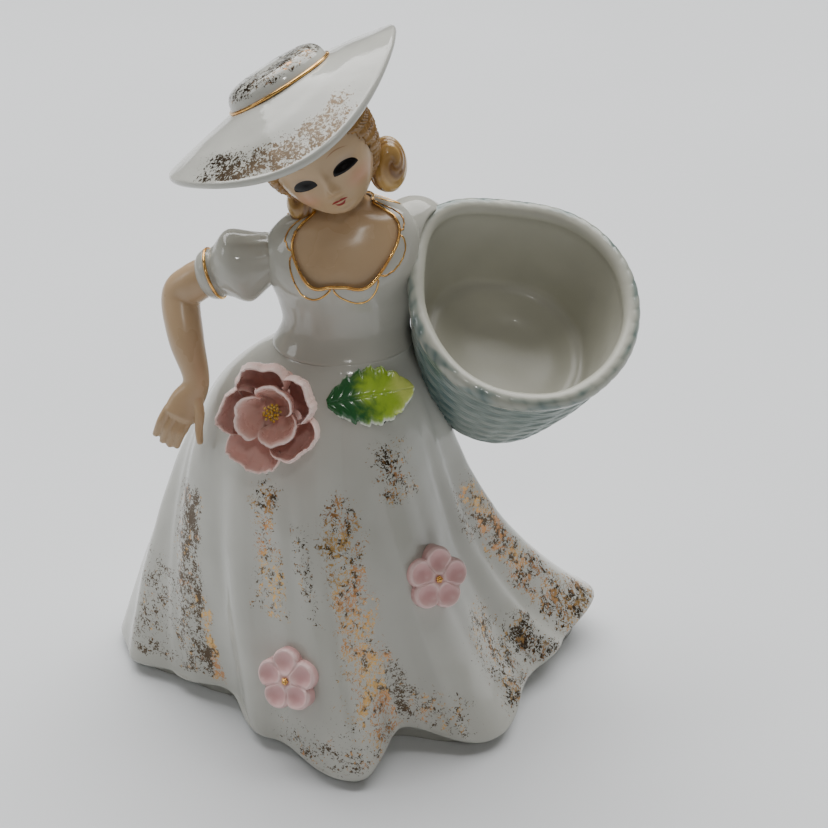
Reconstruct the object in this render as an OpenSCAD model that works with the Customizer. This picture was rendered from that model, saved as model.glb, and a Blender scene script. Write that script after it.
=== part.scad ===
// Porcelain figurine of a lady in a full skirt, who carries an open basket on her hip.
// Each casting, and each petal made by hand, is a solid of its own.
// X is to the lady's left, Y is to her back and Z is up. The origin is on the table,
// under the waist.

/* [Skirt] */
// Height of the waist seam above the table
waist_h = 78; // [67:0.5:94]
// Width of the waist seam
waist_w = 27; // [23:0.5:32]
// Depth of the waist seam, front to back
waist_d = 23; // [20:0.5:27]
// Width of the hem
hem_w = 107; // [90:0.5:128]
// Depth of the hem
hem_d = 80; // [68:0.5:96]
// Wall of the skirt casting
skirt_wall = 2.6; // [2:0.1:3.2]
// Depth of the folds, as a share of their drawn depth
fold_depth = 1; // [0.6:0.05:1.2]
// Swirl of the folds from the waist to the hem, in degrees
fold_swirl = 24; // [10:1:30]
// Thickness of the base plate
base_t = 3; // [2.5:0.1:3.6]
// Radius of the vent hole in the base plate
vent_r = 3; // [2:0.1:4]

/* [Bodice] */
// Height from the waist seam to the root of the neck
bodice_h = 28; // [24:0.5:33]
// Width of the narrowest part of the bodice
bodice_w = 23; // [20:0.5:27]
// Width over the bust
bust_w = 28.4; // [25:0.2:33]
// Depth over the bust
bust_d = 21; // [18:0.5:24]
// Wall of the bodice casting
bodice_wall = 2.2; // [1.8:0.1:2.8]
// Thickness of the bodice at its neckline
neckline_t = 0.5; // [0.4:0.05:0.8]

/* [Head] */
// Width of the head
head_w = 20; // [17:0.5:23]
// Depth of the head
head_d = 19.4; // [17:0.2:22]
// Height of the head from the chin to the seat of the hat
head_h = 20.6; // [18:0.2:23]
// Radius of the neck
neck_r = 4; // [3.4:0.1:4.7]
// Thickness of the hair
hair_t = 1; // [0.7:0.05:1.3]
// Lean of the head towards the lady's right shoulder, in degrees
head_lean = 28; // [15:1:33]

/* [Hat] */
// Radius of the crown
crown_r = 10; // [8.6:0.2:11.6]
// Height of the crown above the brim
crown_h = 4; // [3.2:0.1:5]
// Radius of the brim
brim_r = 24.2; // [20.4:0.2:28]
// Thickness of the brim
brim_t = 1.5; // [1.2:0.1:2]
// Lean of the hat towards the lady's right shoulder, in degrees
hat_lean = 31; // [22:1:36]

/* [Arms] */
// Radius of the right puff sleeve
puff_r = 6.2; // [5.2:0.1:7.2]
// Radius of the forearm
arm_r = 3.5; // [3:0.1:4.1]
// Radius of the wrist
wrist_r = 2.6; // [2.2:0.1:3.1]

/* [Basket] */
// Radius of the basket's mouth
mouth_r = 22; // [19:0.5:24.5]
// Radius of the basket's floor
floor_r = 14; // [12:0.5:16]
// Height of the basket along its middle
basket_h = 30; // [26:0.5:34]
// Wall of the basket
basket_wall = 2.4; // [2:0.1:2.8]
// Thickness of the rolled rim
rim_t = 3.4; // [2.9:0.1:4]
// Lean of the basket towards the front, in degrees
basket_lean = 28; // [20:1:32]
// Lean of its mouth towards the front, in degrees
mouth_lean = 38; // [30:1:42]

/* [Flowers] */
// Radius of the rose
rose_r = 12; // [10:0.5:13.5]
// Thickness of a petal
petal_t = 1; // [0.8:0.05:1.2]
// Length of the leaf
leaf_l = 17; // [14.5:0.5:19]
// Thickness of the leaf
leaf_t = 1.2; // [1:0.1:1.5]
// Radius of a blossom
blossom_r = 6.5; // [5.5:0.1:7.5]
// Radius of the gold bead in a blossom
bead_r = 0.6; // [0.5:0.05:0.8]

/* [Hidden] */

slip = 0.05;         // film of slip between two pieces that are joined
skirt_n = 60;        // points round the skirt
skirt_rows = 14;     // rings of the skirt from hem to waist
cast_n = 28;         // points round a smaller casting
round_n = 40;        // points round the brim and round the basket
skirt_x = 1.5;       // middle of the skirt, to the left of the origin

// Hem folds, going round from the lady's left: where the fold is in degrees, how far it
// stands out from the hem's oval, and how high its edge is above the table.
FOLDS = [[12, 2.5, 9], [38, -4, 6], [60, 2, 3], [82, -4.5, 6], [104, 2, 3], [128, -5, 6],
         [150, -1, 3.5], [171, -0.8, 2.6], [186, -4.5, 3], [198, -12, 4], [216, -15, 5.5],
         [244, -6, 3.4], [273, 4, 2.6], [290, -6.5, 6.5], [312, -0.8, 3], [341, -10, 5],
         [354, -7, 6]];

// ---------- Curves and rings ----------

function mix(a, b, t) = a + (b - a) * t;
function ease(t) = (1 - cos(180 * min(1, max(0, t)))) / 2;
function turn(v) = v / norm(v);
function oval(a, half_w, half_d) = 1 / sqrt(pow(cos(a) / half_w, 2) + pow(sin(a) / half_d, 2));

// Smooth curve through rows of numbers, at t from 0 to the last row.
function spline(rows, t) =
    let(last = len(rows) - 1, i = min(last - 1, max(0, floor(t))), u = t - i,
        p0 = rows[max(0, i - 1)], p1 = rows[i], p2 = rows[i + 1], p3 = rows[min(last, i + 2)])
    0.5 * (2 * p1 + (p2 - p0) * u + (2 * p0 - 5 * p1 + 4 * p2 - p3) * u * u
           + (3 * p1 - 3 * p2 + p3 - p0) * u * u * u);

// A frame is [origin, right, back, up]. tilted() leans it to the front, then to the left.
function lean_x(v, a) = [v.x, v.y * cos(a) - v.z * sin(a), v.y * sin(a) + v.z * cos(a)];
function lean_y(v, a) = [v.x * cos(a) + v.z * sin(a), v.y, v.z * cos(a) - v.x * sin(a)];
function tilted(origin, front, left) =
    [origin, lean_y([1, 0, 0], left), lean_y(lean_x([0, 1, 0], front), left),
     lean_y(lean_x([0, 0, 1], front), left)];
function in_frame(f, p) = f[0] + p.x * f[1] + p.y * f[2] + p.z * f[3];
module in_place(f) {
    multmatrix([[f[1].x, f[2].x, f[3].x, f[0].x],
                [f[1].y, f[2].y, f[3].y, f[0].y],
                [f[1].z, f[2].z, f[3].z, f[0].z],
                [0, 0, 0, 1]])
        children();
}

// Rings of equal length made into a closed skin. Rings that go round a hollow wall join
// up with the first one (closed = true). Otherwise both ends are capped.
module skin(rings, closed = false) {
    n = len(rings[0]);
    m = len(rings);
    centre = function (ring) [for (k = [0:2]) [for (p = ring) p[k]] * [for (p = ring) 1]] / n;
    points = concat([for (ring = rings) each ring], [centre(rings[0]), centre(rings[m - 1])]);
    walls = [for (i = [0:(closed ? m - 1 : m - 2)], j = [0:n - 1])
             let(a = i * n + j, b = i * n + (j + 1) % n,
                 c = ((i + 1) % m) * n + (j + 1) % n, d = ((i + 1) % m) * n + j)
             each [[a, d, c], [a, c, b]]];
    caps = closed ? [] : [for (j = [0:n - 1])
             each [[m * n, j, (j + 1) % n],
                   [m * n + 1, (m - 1) * n + (j + 1) % n, (m - 1) * n + j]]];
    polyhedron(closed ? [for (i = [0:m * n - 1]) points[i]] : points, concat(walls, caps));
}

// One closed mesh of what is inside, for castings that are trimmed against each other.
module trimmed() {
    resize([0, 0, 0]) children();
}

// Round bar through rows of [x, y, z, radius across, radius through], with flat ends.
function bar_rings(rows, steps, n, grow = 0) =
    [for (k = [0:steps])
        let(t = k * (len(rows) - 1) / steps, p = spline(rows, t),
            q = spline(rows, min(len(rows) - 1, t + 0.01)), o = spline(rows, max(0, t - 0.01)),
            w = turn([q[0] - o[0], q[1] - o[1], q[2] - o[2]]),
            u = turn(cross([0, 1, 0], w)), v = cross(w, u))
        [for (j = [0:n - 1]) [p[0], p[1], p[2]] + (p[3] + grow) * cos(j * 360 / n) * u
                             + (p[4] + grow) * sin(j * 360 / n) * v]];

// ---------- Skirt ----------

fold_end = concat(FOLDS, [[for (k = [0:2]) FOLDS[0][k] + (k == 0 ? 360 : 0)]]);
function fold_at(a) =
    let(b = FOLDS[0][0] + ((a - FOLDS[0][0]) % 360 + 360) % 360,
        j = max([for (k = [0:len(FOLDS) - 1]) if (fold_end[k][0] <= b) k]),
        u = ease((b - fold_end[j][0]) / (fold_end[j + 1][0] - fold_end[j][0])))
    mix(fold_end[j], fold_end[j + 1], u);

// How much the skirt flares late, as the train does on the lady's left.
function train(a) = 0.6 * pow(max(0, cos(a - 8)), 1.5);
// How soon the skirt spreads under the waist: sooner on the side that she holds up.
function spread(a) = mix(0.68, 0.55, pow(max(0, -cos(a)), 0.7));

// Point of the skirt at angle a, and at s from 0 at the waist to 1 at the hem.
function skirt_point(a, s, grow = 0) =
    let(fold = fold_at(a + fold_swirl * (1 - s)),
        waist = oval(a, waist_w / 2, waist_d / 2),
        hem = oval(a, hem_w / 2, hem_d / 2),
        gather = 1 - exp(-s / 0.04),
        flare = gather * mix(pow(s, spread(a)), pow(s, 3), train(a)),
        r = mix(waist, hem, flare) + fold[1] * fold_depth * pow(s, 1.3) + grow)
    [skirt_x + r * cos(a), r * sin(a), mix(waist_h, fold[2], s)];
function skirt_ring(s, grow = 0, drop = 0) =
    [for (j = [0:skirt_n - 1]) skirt_point(j * 360 / skirt_n, s, grow) - [0, 0, drop]];
function foot_ring(z, grow) =
    [for (j = [0:skirt_n - 1])
        let(p = skirt_point(j * 360 / skirt_n, 1, grow)) [p.x, p.y, z]];

hem_lip = 1.2;       // how far the hem's edge turns under
foot_in = 4.5;       // how far the foot stands back from the hem
foot_w = 2.4;        // width of the foot ring
lift_min = 2.6;      // height of the lowest fold above the table

function skirt_outside(grow = 0) =
    [for (k = [skirt_rows:-1:0]) skirt_ring(pow(k / skirt_rows, 1.15), grow)];

// Solid body of the skirt, which trims whatever is set on it.
module skirt_body(grow) {
    skin(concat([foot_ring(-1, grow)], skirt_outside(grow)));
}

module skirt() {
    inner = [for (k = [0:9])
             let(s = 0.94 * pow(k / 9, 1.15))
             skirt_ring(s, -skirt_wall, skirt_wall * min(1, 8 * s) * (1 - s))];
    color("white")
        skin(concat([skirt_ring(1, -hem_lip, 0.9)], skirt_outside(), inner,
                    [foot_ring(base_t, -foot_in - foot_w), foot_ring(0, -foot_in - foot_w),
                     foot_ring(0, -foot_in), foot_ring(lift_min - 0.4, -foot_in)]),
             closed = true);
}

module base_plate() {
    outline = [for (p = foot_ring(0, -foot_in - foot_w)) [p.x, p.y]];
    vent_y = 12;
    color("gainsboro")
        difference() {
            linear_extrude(base_t) polygon(outline);
            translate([0, vent_y, -1]) cylinder(r = vent_r, h = base_t + 2, $fn = 32);
        }
}

// ---------- Bodice, chest and neck ----------

shoulder_rise = 1.6; // how much higher the left shoulder is carried
// Sections of the body: height above the waist seam as a share, half width, half depth,
// and the middle of the section.
BODY = [[0, waist_w / 2, waist_d / 2, 1, 0],
        [0.16, bodice_w / 2, waist_d * 0.4, 1, 0],
        [0.34, mix(bodice_w, bust_w, 0.3) / 2, bust_d * 0.45, 1.1, -0.2],
        [0.55, bust_w / 2, bust_d / 2, 1.2, -0.6],
        [0.76, bust_w * 0.52, bust_d * 0.44, 1.4, 0],
        [0.91, bust_w * 0.43, bust_d * 0.35, 1.8, 0.6],
        [1, neck_r * 1.75, neck_r * 1.35, 2, 0.9],
        [1.04, neck_r * 1.15, neck_r * 1.1, 2, 1]];
body_rows = 16;
function body_wall(h) = mix(bodice_wall, neckline_t, ease((h - 0.3) / 0.2));
function body_ring(t, grow) =
    let(b = spline(BODY, t))
    [for (j = [0:cast_n - 1])
        let(a = j * 360 / cast_n, x = (b[1] + grow) * cos(a))
        [b[3] + x, b[4] + (b[2] + grow) * sin(a),
         waist_h + b[0] * bodice_h + shoulder_rise * b[0] * b[0] * x / 14]];
module body_form(grow) {
    skin([for (k = [0:body_rows])
          let(t = k * (len(BODY) - 1) / body_rows) body_ring(t, grow)]);
}
module body_core() {
    skin([for (k = [0:body_rows])
          let(t = k * (len(BODY) - 1) / body_rows) body_ring(t, -body_wall(spline(BODY, t)[0]))]);
}

neck_root = [1.8, 1, waist_h + bodice_h];
neckline_low = waist_h + 0.6 * bodice_h;
neckline_slope = 53;
// Space in front of and above the neckline.
module above_neckline() {
    translate([0, -bust_d / 2, neckline_low])
        rotate([neckline_slope, 0, 0])
            translate([-40, 0, 0]) cube([80, 60, 40]);
}

module bodice() {
    color("white")
        trimmed()
            difference() {
                body_form(0);
                body_core();
                above_neckline();
                translate(neck_root - [0, 0, 3.4]) cylinder(r = neck_r * 1.5, h = 20, $fn = 32);
            }
}

head_frame = tilted(neck_root + [-3.4, -3.5, 11.8], 8, -head_lean);
chin_drop = 10.4;
module neck(grow = 0) {
    top = in_frame(head_frame, [0, 1, -4]);
    rows = [[neck_root.x, neck_root.y, neck_root.z - 4, neck_r * 1.3, neck_r * 1.2],
            [neck_root.x, neck_root.y, neck_root.z, neck_r * 1.05, neck_r],
            [top.x, top.y, top.z, neck_r, neck_r]];
    skin(bar_rings(rows, 8, 24, grow));
}
module chest_and_neck() {
    chest_from = waist_h + 0.42 * bodice_h;
    color("navajowhite")
        trimmed()
            difference() {
                union() {
                    intersection() {
                        body_core();
                        translate([-40, -40, chest_from]) cube([80, 80, 60]);
                    }
                    neck();
                }
                head_form(slip);
            }
}

// ---------- Head and hair ----------

// Sections of the head: height, half width, half depth and how far forward the middle is.
HEAD = [[-chin_drop, 0.4, 0.4, 4.2], [-chin_drop * 0.95, 3, 2.8, 4], [-chin_drop * 0.78, 5.6, 5.4, 3],
        [-chin_drop * 0.48, 8.1, 8, 1.3], [-1, head_w * 0.485, head_d * 0.485, 0.4],
        [3.4, head_w / 2, head_d / 2, 0], [7.6, head_w * 0.46, head_d * 0.46, 0],
        [head_h - chin_drop, head_w * 0.36, head_d * 0.36, 0]];
head_top = head_h - chin_drop;
function head_ring(t, grow) =
    let(h = spline(HEAD, t))
    [for (j = [0:cast_n - 1])
        let(a = j * 360 / cast_n)
        in_frame(head_frame, [(h[1] + grow) * cos(a), (h[2] + grow) * sin(a) - h[3],
                              h[0] + (h[0] < 0 ? -grow : 0)])];
module head_form(grow, rows = 16) {
    skin([for (k = [0:rows]) head_ring(k * (len(HEAD) - 1) / rows, grow)]);
}

module head() {
    color("navajowhite") head_form(0);
}

// Space in front of the hair, where the face is open.
module face_window() {
    in_place(head_frame) {
        translate([0.6, -head_d * 0.62, -4.5])
            scale([0.94, 1, 1.5]) sphere(r = head_w * 0.43, $fn = 40);
        translate([-head_w, -head_d, -chin_drop * 2]) cube([head_w * 2, head_d, chin_drop * 1.7]);
    }
}

module hair_form(grow) {
    rows = 12;
    difference() {
        skin([for (k = [0:rows]) head_ring(mix(1.6, len(HEAD) - 1, k / rows), hair_t + grow)]);
        face_window();
    }
}
module hair() {
    color("goldenrod")
        trimmed()
            difference() {
                hair_form(0);
                head_form(slip);
                body_and_neck();
            }
}
module body_and_neck() {
    body_form(slip);
    neck(slip);
}

roll_right_at = [-8.8, 1.6, -8.6];
roll_left_at = [8.6, 2.2, -9.6];
module hair_roll(at, size) {
    color("darkgoldenrod")
        trimmed()
            difference() {
                translate(in_frame(head_frame, at))
                    scale(size) sphere(r = 1, $fn = 24);
                hair_form(slip);
                head_form(slip);
                body_and_neck();
                above_hat_seat();
            }
}
module hair_roll_right() {
    hair_roll(roll_right_at, [3.2, 3.2, 4.6]);
}
module hair_roll_left() {
    hair_roll(roll_left_at, [3.6, 3.6, 5.4]);
}

// ---------- Hat ----------

seat_gap = 0.02;
hat_frame = tilted(in_frame(head_frame, [0, 0, head_top + seat_gap]), -7, -hat_lean);
crown_up = 4.4;      // height of the foot of the crown above the seat
brim_drop = 3.6;     // fall of the brim at her sides
brim_dip = 3.2;      // further fall of the brim over her brow
brim_shift = 1.5;    // the brim is wider on her right by this much
// Hand-bent waves of the brim: cosine and sine parts of one, two and three waves round it.
BRIM_WAVES = [[0.7, -2.3], [-0.35, -0.95], [-0.5, 0.85]];
function brim_wave(a) = -1.05 + BRIM_WAVES[0][0] * cos(a) + BRIM_WAVES[0][1] * sin(a)
    + BRIM_WAVES[1][0] * cos(2 * a) + BRIM_WAVES[1][1] * sin(2 * a)
    + BRIM_WAVES[2][0] * cos(3 * a) + BRIM_WAVES[2][1] * sin(3 * a);
module above_hat_seat() {
    in_place(head_frame) translate([-40, -40, head_top]) cube([80, 80, 40]);
}
function brim_fall(a, p) = (brim_drop - 0.9 * cos(a) + brim_wave(a) + brim_dip * pow(max(0, -sin(a)), 1.3)
                            + 0.5 * brim_dip * pow(max(0, sin(a)), 1.3)) * pow(p, 1.25);
function hat_ring(r, z, p) =
    [for (j = [0:round_n - 1])
        let(a = j * 360 / round_n)
        in_frame(hat_frame, [r * cos(a) - brim_shift * p, r * sin(a), z - brim_fall(a, p)])];
module hat() {
    top = crown_up + crown_h;
    brim = [for (k = [0:5]) let(p = 1 - k / 5) hat_ring(mix(crown_r, brim_r, p), crown_up, p)];
    crown = [hat_ring(crown_r * 0.97, crown_up + crown_h * 0.45, 0),
             hat_ring(crown_r * 0.9, top - crown_h * 0.2, 0),
             hat_ring(crown_r * 0.7, top - crown_h * 0.03, 0),
             hat_ring(crown_r * 0.35, top, 0)];
    under = [for (k = [0:5]) let(p = k / 5)
             hat_ring(mix(crown_r * 0.8, brim_r - 0.6, p), crown_up - mix(2.6, brim_t, p), p)];
    color("white")
        trimmed()
            difference() {
                skin(concat([hat_ring(crown_r * 0.75, -6, 0)], under, brim, crown));
                hair_form(slip);
                head_form(slip);
                in_place(head_frame) translate([-40, -40, head_top - 20]) cube([80, 80, 20]);
            }
}

// ---------- Sleeves and arms ----------

shoulder_right = [-12.4, 0, waist_h + 17.6];
puff_at = [-17.8, 0, waist_h + 15.8];
cuff_at = [-23.8, 0.4, waist_h + 13.6];
elbow_at = [-30.2, 1, waist_h + 8.4];
forearm_at = [-29.2, -3, waist_h + 1.5];
wrist_at = [-27.4, -6, waist_h - 6.2];
knuckle_at = [-31.2, -8.4, waist_h - 14];

// A sleeve is gathered into a puff, with a plain cuff below it.
module sleeve_form(grow) {
    rows = [concat(shoulder_right, [puff_r * 0.75, puff_r * 0.8]),
            concat(puff_at, [puff_r * 1.1, puff_r]),
            concat(mix(puff_at, cuff_at, 0.62), [puff_r * 0.86, puff_r * 0.82]),
            concat(cuff_at, [puff_r * 0.8, puff_r * 0.78])];
    skin(bar_rings(rows, 12, 24, grow));
}
module sleeve_right() {
    color("white")
        trimmed()
            difference() {
                sleeve_form(0);
                body_form(slip);
            }
}

module finger(from, to, r) {
    hull() {
        translate(from) sphere(r = r, $fn = 10);
        translate(to) sphere(r = r * 0.82, $fn = 10);
    }
}
module arm_right() {
    rows = [concat(cuff_at, [arm_r * 1.1, arm_r]),
            concat(mix(cuff_at, elbow_at, 0.55) + [0, 0, 0.9], [arm_r * 1.12, arm_r]),
            concat(elbow_at, [arm_r * 1.1, arm_r]),
            concat(forearm_at, [arm_r, arm_r]),
            concat(wrist_at, [wrist_r, wrist_r * 0.95]),
            concat(mix(wrist_at, knuckle_at, 0.55), [wrist_r * 1.35, wrist_r * 0.85]),
            concat(knuckle_at, [wrist_r * 1.5, wrist_r * 0.8])];
    tips = [[-4.6, -0.4, -3], [-3.4, -0.8, -4.2], [-2.1, -1.2, -4.9], [-0.8, -1.4, -5.2]];
    roots = [[-2.4, 0, 0.6], [-1.1, -0.2, -0.4], [0.3, -0.3, -1], [1.6, -0.4, -1.5]];
    color("navajowhite")
        trimmed()
            difference() {
                union() {
                    skin(bar_rings(rows, 20, 18));
                    for (k = [0:3])
                        finger(knuckle_at + roots[k], knuckle_at + tips[k], wrist_r * 0.36);
                    finger(mix(wrist_at, knuckle_at, 0.3) + [1.4, -1.4, 0],
                           knuckle_at + [4.4, -3, -3.4], wrist_r * 0.34);
                }
                sleeve_form(slip);
                skirt_body(slip);
            }
}

// The left sleeve and arm go round behind the basket and steady it from the back.
sleeve_left_at = [16, 8.5, waist_h + 19.6];
elbow_left_at = [23, 17, waist_h + 13.5];
hand_left_at = [36, 18.6, waist_h + 9];
module sleeve_left_form(grow) {
    rows = [[11, 1.6, waist_h + 20.6, puff_r * 0.9, puff_r * 0.85],
            concat(sleeve_left_at, [puff_r, puff_r * 0.95]),
            concat(mix(sleeve_left_at, elbow_left_at, 0.5), [puff_r * 0.72, puff_r * 0.7])];
    skin(bar_rings(rows, 10, 28, grow));
}
module sleeve_left() {
    color("white")
        trimmed()
            difference() {
                sleeve_left_form(0);
                body_form(slip);
                basket_clear();
            }
}
module arm_left() {
    rows = [concat(mix(sleeve_left_at, elbow_left_at, 0.4), [arm_r, arm_r]),
            concat(elbow_left_at, [arm_r, arm_r]),
            concat(mix(elbow_left_at, hand_left_at, 0.6), [arm_r * 0.85, arm_r * 0.85]),
            concat(hand_left_at, [wrist_r * 1.4, wrist_r * 0.9]),
            concat(hand_left_at + [5, -1, -1.4], [wrist_r, wrist_r * 0.5])];
    color("navajowhite")
        trimmed()
            difference() {
                skin(bar_rings(rows, 16, 20));
                sleeve_left_form(slip);
                basket_clear();
                body_form(slip);
                skirt_body(slip);
            }
}

// ---------- Basket ----------

mouth_at = [36.5, -5.6, waist_h + 10.6];
mouth_frame = tilted(mouth_at, mouth_lean, 10);
basket_frame = tilted(mouth_at, basket_lean, 12);
// The mouth is round, with a soft corner where it meets her shoulder.
function mouth_reach(a) =
    1 + 0.16 * pow(max(0, cos(0.5 * (a - 142))), 40) - 0.05 * pow(max(0, cos(0.5 * (a - 95))), 30);
function basket_point(a, t, grow, r_floor, up) =
    let(low = in_frame(basket_frame, [(r_floor + grow) * cos(a), (r_floor + grow) * sin(a), -up]),
        r = (mouth_r + grow) * mouth_reach(a),
        high = in_frame(mouth_frame, [r * cos(a), r * sin(a), 0]),
        swell = 0.8 * sin(180 * t))
    mix(low, high, t) + swell * (cos(a) * basket_frame[1] + sin(a) * basket_frame[2]);
function basket_ring(t, grow, up = basket_h) =
    [for (j = [0:round_n - 1]) basket_point(j * 360 / round_n, t, grow, floor_r, up)];
// Rolled rim: points round its section, from the outside to the inside.
function rim_ring(turned, grow) =
    [for (j = [0:round_n - 1])
        let(a = j * 360 / round_n, roll = rim_t / 2 + grow,
            r = mouth_r * mouth_reach(a) - basket_wall / 2 + roll * cos(turned))
        in_frame(mouth_frame, [r * cos(a), r * sin(a), roll * sin(turned)])];
module basket_form(grow, filled = false) {
    outer = [for (k = [0:8]) basket_ring(k / 8 * 0.93, grow)];
    rim = [for (turned = [-30:30:210]) rim_ring(turned, grow)];
    inner = [for (k = [8:-1:4]) basket_ring(k / 8 * 0.93, -basket_wall)];
    floor_up = basket_h * 0.7;
    well = [basket_ring(0.2, -basket_wall + 0.4, floor_up),
            basket_ring(0.08, -basket_wall - 1.6, floor_up),
            basket_ring(0.01, -basket_wall - 5.5, floor_up)];
    if (filled)
        skin(concat(outer, [basket_ring(1.02, grow + rim_t / 2)]));
    else
        skin(concat(outer, rim, inner, well));
}
module basket_clear() {
    basket_form(slip, true);
    basket_form(slip);
}
module basket() {
    color("lightslategray")
        trimmed()
            difference() {
                basket_form(0);
                body_form(slip);
                skirt_body(slip);
            }
}

// ---------- Rose, leaf and blossoms ----------

// Frame at a point of the skirt. Its last axis is the way the piece faces, its first runs
// to the lady's left and its second runs up.
function facing(p, way, proud = 0) =
    let(w = turn(way), u = turn(cross([0, 0, 1], w)))
    [p + proud * w, u, cross(w, u), w];

rose_frame = facing(skirt_point(231, 0.1), [-0.08, -0.9, 0.38]);
pad_h = 3;
module rose_pad() {
    color("thistle")
        trimmed()
            difference() {
                in_place(rose_frame)
                    translate([0, 0, -2])
                        cylinder(r1 = rose_r * 0.52, r2 = rose_r * 0.38, h = pad_h + 2, $fn = 32);
                skirt_body(slip);
            }
}

// Petals, five outside and three inside: direction in degrees, half spread, reach as a
// share of the rose, and height of the tip.
PETALS = [[100, 35, 0.98, 8.6], [28, 35, 0.92, 9.4], [-44, 35, 0.98, 8], [-116, 35, 1.1, 6],
          [172, 35, 0.92, 7.6], [62, 56, 0.54, 9], [182, 56, 0.56, 8], [-58, 56, 0.55, 7.4]];
function petal_point(k, u, v, inside) =
    let(q = PETALS[k], a = q[0] + q[1] * u * sqrt(sin(min(90, 12 + 110 * v))),
        tip = 1 - 0.22 * u * u - 0.05 * cos(540 * u),
        r0 = rose_r * (k < 5 ? 0.36 : 0.17), r = mix(r0, rose_r * q[2] * tip, pow(v, 0.8)),
        z = pad_h + q[3] * tip * pow(v, 1.7))
    [(r - inside * petal_t) * cos(a), (r - inside * petal_t) * sin(a), z + inside * petal_t * 0.5];
module rose_petal(number) {
    k = number - 1;
    across = 10;
    up = 7;
    rings = [for (j = [0:up])
             let(v = j / up)
             concat([for (i = [0:across]) petal_point(k, 2 * i / across - 1, v, 0)],
                    [for (i = [across:-1:0]) petal_point(k, 2 * i / across - 1, v, 1)])];
    color("pink")
        in_place(rose_frame) skin(rings);
}
module rose_stamens() {
    color("gold")
        in_place(rose_frame)
            translate([0, 0, pad_h + slip])
                for (k = [0:6])
                    rotate(k * 60)
                        translate([k < 6 ? 0.62 : 0, 0, 0])
                            cylinder(r = 0.28, h = k < 6 ? 4 : 4.6, $fn = 16);
}

leaf_frame = facing(skirt_point(291, 0.068), [0.12, -0.78, 0.6]);
module leaf() {
    teeth = 7;
    outline = [for (side = [1, -1], k = [0:2 * teeth])
               let(t = side > 0 ? k / (2 * teeth) : 1 - k / (2 * teeth),
                   wide = 0.34 * leaf_l * pow(sin(180 * mix(0.03, 0.985, t)), 0.75),
                   tooth = k % 2 == 0 ? 0.9 : 1.06)
               [(t - 0.5) * leaf_l, side * wide * tooth]];
    color("yellowgreen")
        trimmed()
            difference() {
                in_place(leaf_frame)
                    rotate(6) translate([0, 0, -2.4]) linear_extrude(leaf_t + 3.4) polygon(outline);
                skirt_body(slip);
                in_place(leaf_frame) translate([0, 0, leaf_t]) cylinder(r = 20, h = 8, $fn = 32);
                rose_clear();
            }
}
module rose_clear() {
    in_place(rose_frame) translate([0, 0, 1]) cylinder(r1 = rose_r * 0.6, r2 = rose_r * 1.15, h = 12);
}

upper_frame = facing(skirt_point(307, 0.55), [0.4, -0.8, 0.4], 1.2);
lower_frame = facing(skirt_point(253.5, 0.765), [-0.4, -0.82, 0.34], 1.2);
petal_h = 1.6;
// Five round petals with a hollow in each, on a disc that follows the skirt.
module blossom(f, turned) {
    color("lightpink")
        trimmed()
            difference() {
                in_place(f) {
                    for (k = [0:4])
                        rotate(turned + k * 72)
                            translate([blossom_r * 0.54, 0, -6])
                                cylinder(r = blossom_r * 0.46, h = 6 + petal_h, $fn = 24);
                    translate([0, 0, -6])
                        cylinder(r = blossom_r * 0.3, h = 6 + petal_h, $fn = 24);
                }
                in_place(f)
                    for (k = [0:4])
                        rotate(turned + k * 72)
                            translate([blossom_r * 0.56, 0, petal_h + blossom_r * 0.42])
                                sphere(r = blossom_r * 0.5, $fn = 16);
                skirt_body(slip);
            }
}
module blossom_upper() {
    blossom(upper_frame, 77);
}
module blossom_lower() {
    blossom(lower_frame, 102);
}
module bead(f) {
    color("gold")
        in_place(f) translate([0, 0, petal_h + bead_r * 0.98]) sphere(r = bead_r, $fn = 24);
}
module bead_upper() {
    bead(upper_frame);
}
module bead_lower() {
    bead(lower_frame);
}

skirt();
base_plate();
bodice();
chest_and_neck();
head();
hair();
hair_roll_right();
hair_roll_left();
hat();
sleeve_right();
arm_right();
sleeve_left();
arm_left();
basket();
rose_pad();
rose_petal(1);  // rose_petal_1
rose_petal(2);  // rose_petal_2
rose_petal(3);  // rose_petal_3
rose_petal(4);  // rose_petal_4
rose_petal(5);  // rose_petal_5
rose_petal(6);  // rose_petal_6
rose_petal(7);  // rose_petal_7
rose_petal(8);  // rose_petal_8
rose_stamens();
leaf();
blossom_upper();
blossom_lower();
bead_upper();
bead_lower();
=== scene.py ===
"""Finished look of a porcelain figurine: a lady in a full skirt with a basket on her hip.

Lengths are in millimetres, as in the part's own source, and become metres when a piece is made.
X is to the lady's left, Y is to her back and Z is up.
"""
import math
import random

import bmesh
import bpy
from mathutils import Matrix, Vector, noise


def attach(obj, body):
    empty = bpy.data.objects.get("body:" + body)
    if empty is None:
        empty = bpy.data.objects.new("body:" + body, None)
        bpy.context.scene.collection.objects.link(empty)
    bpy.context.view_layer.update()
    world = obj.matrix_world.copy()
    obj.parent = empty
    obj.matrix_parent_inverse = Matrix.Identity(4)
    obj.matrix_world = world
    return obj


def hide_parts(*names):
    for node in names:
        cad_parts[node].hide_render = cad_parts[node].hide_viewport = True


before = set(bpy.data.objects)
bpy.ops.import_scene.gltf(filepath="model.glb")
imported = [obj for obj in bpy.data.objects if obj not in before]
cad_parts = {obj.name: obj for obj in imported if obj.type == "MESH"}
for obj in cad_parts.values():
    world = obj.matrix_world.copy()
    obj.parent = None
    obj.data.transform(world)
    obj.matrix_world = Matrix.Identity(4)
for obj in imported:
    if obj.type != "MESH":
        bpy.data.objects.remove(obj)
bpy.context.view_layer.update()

MM = 0.001
random.seed(7)

# ---------- Sizes, as in the part's source ----------

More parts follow.
